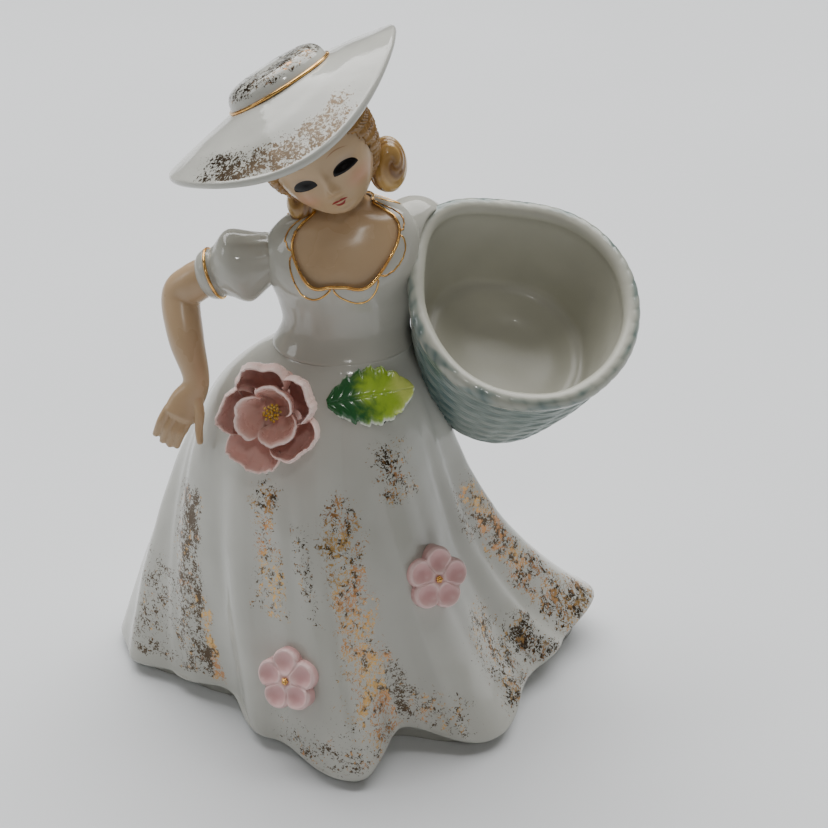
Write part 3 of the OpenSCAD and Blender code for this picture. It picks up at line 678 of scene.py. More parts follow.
def make_arm_right():
    rows = [(*CUFF_AT, ARM_R * 1.1, ARM_R),
            (*(mix(CUFF_AT, ELBOW_AT, 0.55) + Vector((0, 0, 0.9))), ARM_R * 1.12, ARM_R),
            (*ELBOW_AT, ARM_R * 1.1, ARM_R), (*FOREARM_AT, ARM_R, ARM_R),
            (*WRIST_AT, WRIST_R, WRIST_R * 0.95),
            (*mix(WRIST_AT, KNUCKLE_AT, 0.55), WRIST_R * 1.3, WRIST_R * 0.82),
            (*(KNUCKLE_AT + Vector((0.5, 0, 1.2))), WRIST_R * 1.35, WRIST_R * 0.7)]
    roots = [(-2.5, 0, 0.9), (-1.1, -0.2, -0.2), (0.3, -0.3, -0.9), (1.5, -0.4, -1.3)]
    tips = [(-4.7, -0.4, -3.0), (-3.4, -0.8, -4.3), (-2.0, -1.2, -5.0), (-0.6, -1.4, -5.2)]
    bm = bmesh.new()
    add_bar(bm, rows, 40, 80)
    for root, tip in zip(roots, tips):
        a, b = KNUCKLE_AT + Vector(root) + Vector((0.8, 0.2, 2.0)), KNUCKLE_AT + Vector(tip)
        knee = mix(a, b, 0.55) + Vector((-0.25, -0.5, 0))
        add_finger(bm, [a, mix(a, knee, 0.6), knee, b], WRIST_R * 0.36)
    base = mix(WRIST_AT, KNUCKLE_AT, 0.3) + Vector((1.2, -1.0, 0))
    end = KNUCKLE_AT + Vector((4.4, -3, -3.4))
    add_finger(bm, [base, mix(base, end, 0.35) + Vector((0.5, -0.3, 0)), mix(base, end, 0.7), end],
               WRIST_R * 0.36)
    return fused("arm_right_skin", bm, "arm_right", 0.24)


def make_arm_left():
    rows = [(*mix(SLEEVE_LEFT_AT, ELBOW_LEFT_AT, 0.4), ARM_R, ARM_R), (*ELBOW_LEFT_AT, ARM_R, ARM_R),
            (*mix(ELBOW_LEFT_AT, HAND_LEFT_AT, 0.6), ARM_R * 0.85, ARM_R * 0.85),
            (*HAND_LEFT_AT, WRIST_R * 1.3, WRIST_R * 0.85),
            (*(HAND_LEFT_AT + Vector((3, -0.6, -0.8))), WRIST_R * 1.05, WRIST_R * 0.6)]
    bm = bmesh.new()
    add_bar(bm, rows, 40, 60)
    for k in range(4):
        up = 1.6 - 1.15 * k
        a = HAND_LEFT_AT + Vector((1.0, -0.4, up))
        b = HAND_LEFT_AT + Vector((5.4 - 0.5 * abs(k - 1.3), -1.6, up - 1.2))
        add_finger(bm, [a, mix(a, b, 0.3), mix(a, b, 0.65) + Vector((0, 0.3, 0)), b], WRIST_R * 0.3)
    return fused("arm_left_skin", bm, "arm_left", 0.26)


# ---------- Basket ----------

MOUTH_AT = Vector((36.5, -5.6, WAIST_H + 10.6))
MOUTH_FRAME = tilted(MOUTH_AT, MOUTH_LEAN, 10)
BASKET_FRAME = tilted(MOUTH_AT, BASKET_LEAN, 12)
STAKES = 26
WEAVE_ROWS = 25


def mouth_reach(a):
    corner = max(0, cosd(0.5 * (a - 142))) ** 40
    flat = max(0, cosd(0.5 * (a - 95))) ** 30
    return 1 + 0.16 * corner - 0.05 * flat


def basket_point(a, t, grow, up=BASKET_H):
    low = BASKET_FRAME @ Vector(((FLOOR_R + grow) * cosd(a), (FLOOR_R + grow) * sind(a), -up))
    r = (MOUTH_R + grow) * mouth_reach(a)
    high = MOUTH_FRAME @ Vector((r * cosd(a), r * sind(a), 0))
    swell = 0.8 * sind(180 * t)
    out = BASKET_FRAME.to_3x3() @ Vector((cosd(a), sind(a), 0))
    return mix(low, high, t) + swell * out


def rim_point(a, turned, proud):
    roll = RIM_T / 2 + proud
    r = MOUTH_R * mouth_reach(a) - BASKET_WALL / 2 + roll * cosd(turned)
    return MOUTH_FRAME @ Vector((r * cosd(a), r * sind(a), roll * sind(turned)))


def weave_at(a, t):
    """Height of the woven wall: willow rods that go over and under the stakes."""
    row = t * WEAVE_ROWS
    rod = abs(math.sin(math.pi * row)) ** 0.7
    over = math.cos(math.radians(STAKES / 2 * a) + math.pi * math.floor(row / 2))
    return rod * (0.26 + 0.06 * over) + 0.12 * over - 0.24


def make_basket():
    rows = [("base", k / 6) for k in range(7)]
    rows += [("wall", k / 156) for k in range(157)]
    rows += [("rim", k / 30) for k in range(1, 31)]
    rows += [("in", 1 - k / 26) for k in range(27)]
    rows += [("well", k / 12) for k in range(1, 13)]
    floor_up = BASKET_H * 0.7
    well_rows = [(0.5 * 0.93, -BASKET_WALL, BASKET_H), (0.22, -BASKET_WALL + 0.5, floor_up),
                 (0.085, -BASKET_WALL - 1.4, floor_up), (0.02, -BASKET_WALL - 5, floor_up),
                 (0.0, -FLOOR_R, floor_up)]

    def shape(u, v):
        part, t = rows[round(v * (len(rows) - 1))]
        a = 360 * u
        if part == "base":
            p = BASKET_FRAME @ Vector((FLOOR_R * t * 0.985 * cosd(a), FLOOR_R * t * 0.985 * sind(a),
                                       -BASKET_H))
            return p, (0.6, 0.0)
        if part == "wall":
            height = 0.93 * t
            fade = ramp(t, 0.0, 0.03) * (1 - ramp(t, 0.96, 1.0))
            deep = weave_at(a, t)
            p = basket_point(a, height, 0)
            out = BASKET_FRAME.to_3x3() @ Vector((cosd(a), sind(a), 0))
            stripe = ramp(noise.noise(Vector((cosd(a) * 2.6, sind(a) * 2.6, t * 0.8 + 5))), -0.2, 0.35)
            return p + out * (deep * fade - 0.05), (1.0, clamp(0.2 - deep * 1.1 + 0.55 * stripe))
        if part == "rim":
            turned = mix(-62, 205, t)
            strand = abs(math.sin(math.radians(24 * a) + math.radians(turned) * 1.3)) ** 0.5
            outer = 1 - ramp(turned, 62, 112)
            smudge = ramp(noise.noise(Vector((cosd(a) * 5, sind(a) * 5, turned / 60))), -0.25, 0.3)
            dab = uneven((cosd(a) * 9, sind(a) * 9, turned / 30), 4, 0.25)
            return (rim_point(a, turned, (0.13 * strand - 0.1) * outer + dab),
                    (0.85 * outer * mix(0.35, 1, smudge), clamp(1.1 - strand + 0.4 * smudge) * outer))
        if part == "in":
            low = 0.5
            p = basket_point(a, 0.93 * mix(low, 1.0, t),
                             -BASKET_WALL + 0.1 + uneven((cosd(a) * 3, sind(a) * 3, t * 3), 1, 0.25))
            return p, (0.0, 0.0)
        level, grow, up = spline(well_rows, t * (len(well_rows) - 1))
        p = basket_point(a, clamp(level), grow, up)
        p += Vector((0, 0, uneven(p, 7, 0.3)))
        return p, (0.0, 0.0)
    bm = bmesh.new()
    add_sheet(bm, 552, len(rows) - 1, shape, ("wash", "groove"))
    return finish("basket_casting", bm, ("basket",))


# ---------- Rose, leaf and blossoms ----------

ROSE_FRAME = facing(skirt_point(231, 0.1), (-0.08, -0.9, 0.38))
LEAF_FRAME = facing(skirt_point(291, 0.068), (0.12, -0.78, 0.6))
UPPER_FRAME = facing(skirt_point(307, 0.55), (0.4, -0.8, 0.4), 1.2)
LOWER_FRAME = facing(skirt_point(253.5, 0.765), (-0.4, -0.82, 0.34), 1.2)
PAD_H, PETAL_H = 3, 1.6
PETALS = [(100, 44, 0.98, 8.6), (28, 44, 0.92, 9.4), (-44, 44, 0.98, 8), (-116, 42, 1.1, 6),
          (172, 44, 0.92, 7.6), (62, 64, 0.54, 9), (182, 64, 0.56, 8), (-58, 64, 0.55, 7.4)]


def make_petal(k):
    """Petal pinched out of clay by hand, thin and torn along its edge."""
    middle, half, reach, rise = PETALS[k]
    inner = k >= 5

    def shape(u, v):
        out_side = u < 0.5
        across = (4 * u - 1) if out_side else (3 - 4 * u)
        torn = (0.05 * noise.noise(Vector((across * 2.4, k * 7.1, 0)))
                + 0.022 * noise.noise(Vector((across * 13, k, 3))))
        tip = 1 - 0.06 * across * across - 0.3 * across ** 6 - 0.02 * math.cos(3 * math.pi * across) + torn
        spread = math.sqrt(sind(min(90, 12 + 110 * v)))
        a = middle + half * across * spread
        root = ROSE_R * (0.17 if inner else 0.36)
        r = mix(root, ROSE_R * reach * tip * 1.03, v ** 0.68) + (0.5 if inner else 0.75) * across * v
        r -= (0.8 if inner else 2.6) * v ** 4
        z = PAD_H + 1.28 * rise * tip * v ** 1.8 + 0.5 * math.sin(2.5 * across + 1.7 * k) * v * v
        edge = max(abs(across) ** 3, v ** 3)
        thick = PETAL_T * mix(1.0, 0.55, edge)
        thick *= math.sqrt(max(0.0, 1 - abs(across) ** 12)) * math.sqrt(max(0.0, 1 - v ** 16))
        cup = 0.9 * v * (1 - v) * (across * across - 0.4) + (0.5 * ramp(v, 0.8, 1.0) if k == 0 else 0)
        rib = 0.05 * math.sin(19 * across + 2 * k) * v
        inward = 0 if out_side else thick
        p = Vector(((r - inward + rib - cup) * cosd(a), (r - inward + rib - cup) * sind(a),
                    z + inward * 0.5))
        pale = clamp(1.3 * ramp(edge + 0.25 * torn * 20, 0.45, 1.05))
        return p, (pale, v)
    bm = bmesh.new()
    add_sheet(bm, 96, 34, shape, ("pale", "reach"), placed=ROSE_FRAME)
    return finish(f"rose_petal_{k + 1}_clay", bm, (f"rose_petal_{k + 1}",))


def make_rose_pad():
    def shape(u, v):
        a = 360 * u
        rows = [(0, PAD_H + 0.2), (ROSE_R * 0.2, PAD_H + 0.15), (ROSE_R * 0.38, PAD_H - 0.3),
                (ROSE_R * 0.48, 0.4), (ROSE_R * 0.54, -1.5), (ROSE_R * 0.56, -3.4), (0, -3.6)]
        r, z = spline(rows, v * (len(rows) - 1))
        r = max(0.0, r) * (1 + 0.03 * cosd(5 * a))
        return (r * cosd(a), r * sind(a), z), (0.0, 0.3)
    bm = bmesh.new()
    add_sheet(bm, 60, 30, shape, ("pale", "reach"), placed=ROSE_FRAME)
    return finish("rose_heart", bm, ("rose_pad",))


def make_stamens():
    bm = bmesh.new()
    for k in range(26):
        a = k * 137.5
        r = 0.34 * math.sqrt(k)
        lean = Vector((cosd(a), sind(a), 0)) * (0.16 * r)
        tall = 3.2 + 1.3 * random.random() - 0.12 * r
        root = Vector((r * 0.7 * cosd(a), r * 0.7 * sind(a), PAD_H))
        head = root + lean * 2 + Vector((0, 0, tall))

        def thread(u, v):
            p = mix(root, head, v)
            thick = 0.15 if v > 0.8 else 0.11
            thick *= 1 + 1.1 * bump(v, 0.93, 0.06)
            end = 0.0 if v == 0 or v == 1 else 1.0
            p = p + Vector((cosd(360 * u), sind(360 * u), 0)) * (thick * end)
            return p, (ramp(v, 0.7, 0.82),)
        add_sheet(bm, 7, 14, thread, ("pollen",), placed=ROSE_FRAME)
    return finish("rose_stamen_threads", bm, ("rose_stamens",))


LEAF_TEETH = 7


def make_leaf():
    turned = LEAF_FRAME @ Matrix.Rotation(math.radians(6), 4, "Z")

    def shape(u, v):
        top = u < 0.5
        across = (4 * u - 1) if top else (3 - 4 * u)
        t = v
        wide = 0.34 * LEAF_L * sind(180 * mix(0.03, 0.985, t)) ** 0.75
        phase = t * LEAF_TEETH % 1
        tooth = 0.9 + 0.19 * (phase ** 0.7 if phase < 0.8 else (1 - phase) / 0.2 * 0.86)
        torn = 0.05 * noise.noise(Vector((t * 31, across, 2)))
        y = across * wide * (tooth + torn)
        x = (t - 0.5) * LEAF_L + 0.5 * abs(across) * sind(180 * t)
        vein = 0.16 * math.exp(-(across / 0.05) ** 2)
        side = abs((t * 8 - abs(across) * 1.5) % 1 - 0.5)
        vein += 0.05 * math.exp(-((0.5 - side) / 0.12) ** 2) * (1 - abs(across) ** 3)
        dome = 0.9 * (1 - across * across) * sind(180 * t) - 0.5 * abs(across) ** 4
        edge = ramp(abs(across), 0.86, 1.0)
        z = LEAF_T - 0.55 + dome - vein - 0.25 * edge
        if not top:
            z = -2.4 * (1 - 0.55 * abs(across)) + 0.2 if abs(across) < 0.93 else z - 0.5
        return (x, y, z), (max(edge, ramp(t, 0.97, 1.0)), t, clamp(vein * 2.4))
    bm = bmesh.new()
    add_sheet(bm, 140, 150, shape, ("chip", "along", "vein"), placed=turned)
    return finish("leaf_clay", bm, ("leaf",))


def make_blossom(name, node, at, turned):
    def outline(q):
        best = 0.3 * BLOSSOM_R
        for k in range(5):
            off = (q - turned - 72 * k + 180) % 360 - 180
            if abs(off) < 60:
                c, r = 0.54 * BLOSSOM_R, 0.46 * BLOSSOM_R
                under = r * r - (c * sind(off)) ** 2
                if under > 0:
                    best = max(best, c * cosd(off) + math.sqrt(under))
        return best

    def shape(u, v):
        q = 360 * u
        reach = outline(q)
        if v > 0.8:
            down = (v - 0.8) / 0.2
            return (Vector((reach * cosd(q), reach * sind(q), mix(PETAL_H * 0.6, -3.4, down))),
                    (0.2, 0.0))
        r = reach * (v / 0.8) ** 0.9
        x, y = r * cosd(q), r * sind(q)
        off = (q - turned + 36) % 72 - 36
        px, py = r * cosd(off), r * sind(off)
        from_middle = math.hypot(px - 0.58 * BLOSSOM_R, py) / (0.46 * BLOSSOM_R)
        hollow = 0.85 * math.exp(-(from_middle / 0.62) ** 2.6)
        rim = 0.3 * bump(from_middle, 0.82, 0.16)
        groove = 0.55 * math.exp(-((36 - abs(off)) / 4.2) ** 2) * ramp(r, 0.12 * BLOSSOM_R, 0.45 * BLOSSOM_R)
        edge = 0.7 * ramp(v / 0.8, 0.86, 1.0) ** 2
        z = PETAL_H + 0.12 + rim - hollow - groove - edge - 0.3 * bump(r, 0, 0.1 * BLOSSOM_R)
        # Colour marks: pale is a painted highlight on the raised rim of each petal and grows towards the
        # outer edge; reach here is painted shade in the petal hollows and the grooves between petals.
        return (Vector((x, y, z)),
                (clamp(0.25 + 0.8 * rim / 0.3 + 0.4 * ramp(v, 0.66, 0.8)), clamp(hollow + groove)))
    bm = bmesh.new()
    add_sheet(bm, 200, 60, shape, ("pale", "reach"), placed=at)
    return finish(name, bm, (node,))


def make_bead(name, node, at):
    bm = bmesh.new()
    for k in range(6):
        a = 72 * k
        c = (Vector((0.42 * cosd(a), 0.42 * sind(a), PETAL_H + 0.28)) if k < 5
             else Vector((0, 0, PETAL_H + BEAD_R)))
        ball = bmesh.ops.create_icosphere(bm, subdivisions=2, radius=0.34 if k < 5 else 0.46)["verts"]
        bmesh.ops.translate(bm, verts=ball, vec=c)
    bmesh.ops.transform(bm, matrix=at, verts=bm.verts)
    return finish(name, bm, (node,))


# ---------- Gold lines painted over the glaze ----------

def make_neckline_gold():
    bm = bmesh.new()
    middle = Vector((1.2, 0, 0))

    def out(p):
        return Vector((p.x - middle.x, p.y, 0)).normalized()
    ring = [body_point(a, neckline_at(a), 0.02) for a in range(0, 360, 3)]
    add_cord(bm, ring + [ring[0]], 0.36, 8, 0.7, out)
    loops = [(207, 232, 2.5), (233, 265, 2.7), (266, 300, 3.3), (301, 322, 2.9), (323, 341, 2.5),
             (4, 42, 2.6), (46, 84, 2.6), (88, 126, 2.6), (130, 172, 2.6)]
    for start, end, drop in loops:
        path = []
        for k in range(29):
            t = k / 28
            a = mix(start, end, t)
            h = neckline_at(a)
            down = drop * max(0, math.sin(math.pi * t)) ** 0.62
            away = Vector(((a - 270) * 0.23, (h - 0.93) * BODICE_H)) if start > 180 else Vector((0, -1))
            away.normalize()
            path.append(body_point(a + down * away.x / 0.23, h + down * away.y / BODICE_H, 0.02))
        add_cord(bm, path, 0.21, 8, 0.7, out)
    return finish("neckline_gold", bm)


def make_cuff_gold():
    bm = bmesh.new()
    way = (CUFF_AT - PUFF_AT).normalized()
    across = Vector((0, 1, 0)).cross(way).normalized()
    through = way.cross(across)
    middle = CUFF_AT - way * 0.7
    ring = [middle + across * (PUFF_R * 0.81 + 0.04) * cosd(a) + through * (PUFF_R * 0.79 + 0.04) * sind(a)
            for a in range(0, 361, 6)]
    add_cord(bm, ring, 0.3, 8, 0.8, lambda p: (p - middle).normalized())
    return finish("cuff_gold", bm)


def make_hat_gold():
    bm = bmesh.new()
    ring = [HAT_AT @ (hat_point(a, CROWN_R + 0.12, CROWN_UP + 0.42, 0)) for a in range(0, 361, 4)]
    out = HAT_AT.to_3x3() @ Vector((0, 0, 1))
    add_cord(bm, ring, 0.4, 8, 0.8, lambda p: out)
    return finish("hat_band_gold", bm)


# ---------- Materials ----------

def add_node(tree, kind, inputs=None, **settings):
    """Adds a node, gives it its settings, and sets or links its inputs."""
    made = tree.nodes.new(kind)
    for key, value in settings.items():
        setattr(made, key, value)
    for key, value in (inputs or {}).items():
        if isinstance(value, bpy.types.NodeSocket):
            tree.links.new(value, made.inputs[key])
        else:
            made.inputs[key].default_value = value
    return made


def maths(tree, operation, a, b=0.0, c=0.0):
    return add_node(tree, "ShaderNodeMath", {0: a, 1: b, 2: c}, operation=operation).outputs[0]


def blend(tree, factor, a, b):
    """Colour a where the factor is 0 and colour b where it is 1."""
    return add_node(tree, "ShaderNodeMix", {0: factor, 6: a, 7: b}, data_type="RGBA").outputs[2]


def stepped(tree, value, low, high, out_low=0.0, out_high=1.0):
    """Value carried smoothly from low..high to out_low..out_high."""
    return add_node(tree, "ShaderNodeMapRange",
                    {"Value": value, "From Min": low, "From Max": high,
                     "To Min": out_low, "To Max": out_high},
                    interpolation_type="SMOOTHSTEP").outputs[0]


def grain(tree, where, scale, detail=3.0, rough=0.5, bend=0.0):
    return add_node(tree, "ShaderNodeTexNoise", {"Vector": where, "Scale": scale, "Detail": detail,
                                                 "Roughness": rough, "Distortion": bend}).outputs[0]


def mark(tree, name):
    return add_node(tree, "ShaderNodeAttribute", attribute_name=name).outputs["Fac"]


def place(tree):
    return add_node(tree, "ShaderNodeTexCoord").outputs["Object"]


def new_group(name, takes, gives):
    group = bpy.data.node_groups.new(name, "ShaderNodeTree")
    for label, kind, value in takes:
        made = group.interface.new_socket(name=label, in_out="INPUT", socket_type=kind)
        made.default_value = value
    for label, kind in gives:
        group.interface.new_socket(name=label, in_out="OUTPUT", socket_type=kind)
    return group, group.nodes.new("NodeGroupInput"), group.nodes.new("NodeGroupOutput")


def use_group(tree, group, inputs):
    return add_node(tree, "ShaderNodeGroup", inputs, node_tree=group)


def gold_leaf_group():
    """Liquid gold dabbed on with a sponge: broken flecks, some fired dark."""
    group, given, out = new_group(
        "sponged_gold", [("Thickness", "NodeSocketFloat", 0.5), ("Fired", "NodeSocketFloat", 0.3)],
        [("Mask", "NodeSocketFloat"), ("Colour", "NodeSocketColor")])
    where = place(group)
    fleck = grain(group, where, 1700.0, 4.0, 0.62, 1.0)
    patch = grain(group, where, 330.0, 2.0, 0.5, 0.6)
    both = maths(group, "ADD", maths(group, "MULTIPLY", fleck, 0.72), maths(group, "MULTIPLY", patch, 0.28))
    limit = maths(group, "SUBTRACT", 0.65, maths(group, "MULTIPLY", given.outputs["Thickness"], 0.22))
    over = maths(group, "SUBTRACT", both, limit)
    present = stepped(group, given.outputs["Thickness"], 0.04, 0.16)
    mask = maths(group, "MULTIPLY", stepped(group, over, 0.0, 0.018), present)
    tone = maths(group, "ADD", grain(group, where, 650.0, 3.0, 0.6),
                 maths(group, "MULTIPLY", given.outputs["Fired"], 0.34))
    bright = blend(group, stepped(group, grain(group, where, 160.0), 0.4, 0.62),
                   (0.6, 0.37, 0.14, 1), (0.5, 0.26, 0.12, 1))
    colour = blend(group, stepped(group, tone, 0.56, 0.7), bright, (0.09, 0.065, 0.042, 1))
    group.links.new(mask, out.inputs["Mask"])
    group.links.new(colour, out.inputs["Colour"])
    return group


def glaze_skin_group():
    """Shallow waviness of a fired glaze, as a height, and its faint change of tone."""
    group, given, out = new_group("fired_glaze", [("Strength", "NodeSocketFloat", 1.0)],
                                  [("Height", "NodeSocketFloat"), ("Tone", "NodeSocketFloat")])
    where = place(group)
    wave = grain(group, where, 190.0, 2.0, 0.5)
    pits = grain(group, where, 1500.0, 2.0, 0.5)
    height = maths(group, "ADD", wave, maths(group, "MULTIPLY", pits, 0.05))
    group.links.new(maths(group, "MULTIPLY", height, given.outputs["Strength"]), out.inputs["Height"])
    group.links.new(stepped(group, grain(group, where, 38.0, 3.0), 0.35, 0.65), out.inputs["Tone"])
    return group


def brush_group():
    """One touch of a fine brush: a bowed patch with pointed ends."""
    takes = [("X", "NodeSocketFloat", 0.0), ("Z", "NodeSocketFloat", 0.0),
             ("Middle X", "NodeSocketFloat", 0.0), ("Middle Z", "NodeSocketFloat", 0.0),
             ("Half", "NodeSocketFloat", 1.0), ("Slope", "NodeSocketFloat", 0.0),
             ("Bow", "NodeSocketFloat", 0.0), ("Above", "NodeSocketFloat", 0.2),
             ("Below", "NodeSocketFloat", 0.2), ("Blunt", "NodeSocketFloat", 1.0)]
    group, given, out = new_group("brush_touch", takes, [("Mask", "NodeSocketFloat")])
    got = given.outputs
    along = maths(group, "SUBTRACT", got["X"], got["Middle X"])
    share = maths(group, "DIVIDE", along, got["Half"])
    fall = maths(group, "SUBTRACT", 1.0, maths(group, "MULTIPLY", share, share))
    round_off = maths(group, "MAXIMUM", fall, 0.0)
    up = maths(group, "SUBTRACT", got["Z"], got["Middle Z"])
    up = maths(group, "SUBTRACT", up, maths(group, "MULTIPLY", along, got["Slope"]))
    up = maths(group, "SUBTRACT", up, maths(group, "MULTIPLY", round_off, got["Bow"]))
    full = maths(group, "POWER", round_off, got["Blunt"])
    top = maths(group, "SUBTRACT", maths(group, "MULTIPLY", full, got["Above"]), up)
    low = maths(group, "ADD", maths(group, "MULTIPLY", full, got["Below"]), up)
    near = stepped(group, maths(group, "MINIMUM", top, low), 0.0, 0.09)
    inside = stepped(group, round_off, 0.0, 0.03)
    group.links.new(maths(group, "MULTIPLY", near, inside), out.inputs["Mask"])
    return group


SPONGED_GOLD = gold_leaf_group()
FIRED_GLAZE = glaze_skin_group()
BRUSH = brush_group()


def new_material(name, **shader):
    made = bpy.data.materials.new(name)
    made.use_nodes = True
    tree = made.node_tree
    principled = tree.nodes["Principled BSDF"]
    for key, value in shader.items():
        principled.inputs[key.replace("_", " ")].default_value = value
    return made, tree, principled


def raise_relief(tree, principled, strength, distance, height):
    """Wires a height to the shader's normal."""
    relief = add_node(tree, "ShaderNodeBump", {"Strength": strength, "Distance": distance, "Height": height})
    tree.links.new(relief.outputs[0], principled.inputs["Normal"])


def wavy(tree, principled, strength, distance=0.00025):
    """Wires the glaze's waviness to the shader's normal, and returns the group."""
    glaze = use_group(tree, FIRED_GLAZE, {"Strength": strength})
    raise_relief(tree, principled, 1.0, distance, glaze.outputs["Height"])
    return glaze


def porcelain():
    """White glaze, with sponged gold where the piece carries the marks for it."""
    made, tree, principled = new_material("white_glaze", Roughness=0.1, IOR=1.42,
                                          Coat_Weight=0.06, Coat_Roughness=0.04)
    glaze = wavy(tree, principled, 0.6)
    white = blend(tree, glaze.outputs["Tone"], (0.47, 0.47, 0.425, 1), (0.53, 0.53, 0.485, 1))
    gold = use_group(tree, SPONGED_GOLD, {"Thickness": mark(tree, "gild"), "Fired": mark(tree, "fired")})
    colour = blend(tree, gold.outputs["Mask"], white, gold.outputs["Colour"])
    tree.links.new(colour, principled.inputs["Base Color"])
    tree.links.new(gold.outputs["Mask"], principled.inputs["Metallic"])
    tree.links.new(stepped(tree, gold.outputs["Mask"], 0, 1, 0.1, 0.3), principled.inputs["Roughness"])
    return made


# The same white glaze as on the skirt and hat, painted darker and warmer: painted shade on the bodice and
# sleeves.
def shaded_porcelain():
    made, tree, principled = new_material("white_glaze_shaded", Roughness=0.1, IOR=1.42,
                                          Coat_Weight=0.06, Coat_Roughness=0.04)
    glaze = wavy(tree, principled, 0.6)
    white = blend(tree, glaze.outputs["Tone"], (0.43, 0.425, 0.375, 1), (0.49, 0.485, 0.435, 1))
    tree.links.new(white, principled.inputs["Base Color"])
    return made


def basket_glaze():
    """White inside, and a grey-green wash outside that has run into the weave."""
    made, tree, principled = new_material("washed_glaze", Roughness=0.12, IOR=1.5,
                                          Coat_Weight=0.1, Coat_Roughness=0.05)
    glaze = wavy(tree, principled, 0.5)
    where = place(tree)
    white = blend(tree, glaze.outputs["Tone"], (0.42, 0.415, 0.35, 1), (0.49, 0.485, 0.415, 1))
    cloud = stepped(tree, grain(tree, where, 70.0, 3.0), 0.3, 0.7)
    pale = blend(tree, cloud, (0.23, 0.28, 0.25, 1), (0.34, 0.38, 0.345, 1))
    deep = blend(tree, cloud, (0.05, 0.105, 0.105, 1), (0.13, 0.2, 0.195, 1))
    washed = blend(tree, mark(tree, "groove"), pale, deep)
    colour = blend(tree, mark(tree, "wash"), white, washed)
    tree.links.new(stepped(tree, mark(tree, "wash"), 0, 0.6, 0.4, 0.14), principled.inputs["Roughness"])
    tree.links.new(colour, principled.inputs["Base Color"])
    return made


def skin_paint():
    """Warm matt flesh over the glaze, browner where it pools."""
    made, tree, principled = new_material("flesh_paint", Roughness=0.3, IOR=1.48,
                                          Coat_Weight=0.15, Coat_Roughness=0.2)
    glaze = wavy(tree, principled, 0.4)
    where = place(tree)
    soft = stepped(tree, grain(tree, where, 90.0, 3.0), 0.3, 0.7)
    flesh = blend(tree, glaze.outputs["Tone"], (0.46, 0.315, 0.18, 1), (0.51, 0.365, 0.225, 1))
    colour = blend(tree, maths(tree, "MULTIPLY", soft, 0.35), flesh, (0.42, 0.26, 0.13, 1))
    tree.links.new(colour, principled.inputs["Base Color"])
    tree.links.new(stepped(tree, soft, 0, 1, 0.24, 0.36), principled.inputs["Roughness"])
    return made


def touch(tree, x, z, middle_x, middle_z, half, slope, bow, above, below, blunt=1.0):
    return use_group(tree, BRUSH, {"X": x, "Z": z, "Middle X": middle_x, "Middle Z": middle_z, "Half": half,
                                   "Slope": slope, "Bow": bow, "Above": above, "Below": below,
                                   "Blunt": blunt}).outputs[0]


def soft_spot(tree, x, z, middle_x, middle_z, size_x, size_z):
    dx = maths(tree, "DIVIDE", maths(tree, "SUBTRACT", x, middle_x), size_x)
    dz = maths(tree, "DIVIDE", maths(tree, "SUBTRACT", z, middle_z), size_z)
    square = maths(tree, "ADD", maths(tree, "MULTIPLY", dx, dx), maths(tree, "MULTIPLY", dz, dz))
    far = maths(tree, "SQRT", square)
    return stepped(tree, far, 0.0, 1.0, 1.0, 0.0)


def head_sides(tree):
    """Millimetres across, through and up the head, from its middle and leaned as it leans."""
    turned = HEAD_AT.inverted().to_3x3()
    where = add_node(tree, "ShaderNodeVectorMath", {0: place(tree), 1: tuple(HEAD_AT.translation * MM)},
                     operation="SUBTRACT").outputs[0]
    return [add_node(tree, "ShaderNodeVectorMath", {0: where, 1: tuple(Vector(turned[row]) / MM)},
                     operation="DOT_PRODUCT").outputs["Value"] for row in (0, 1, 2)]


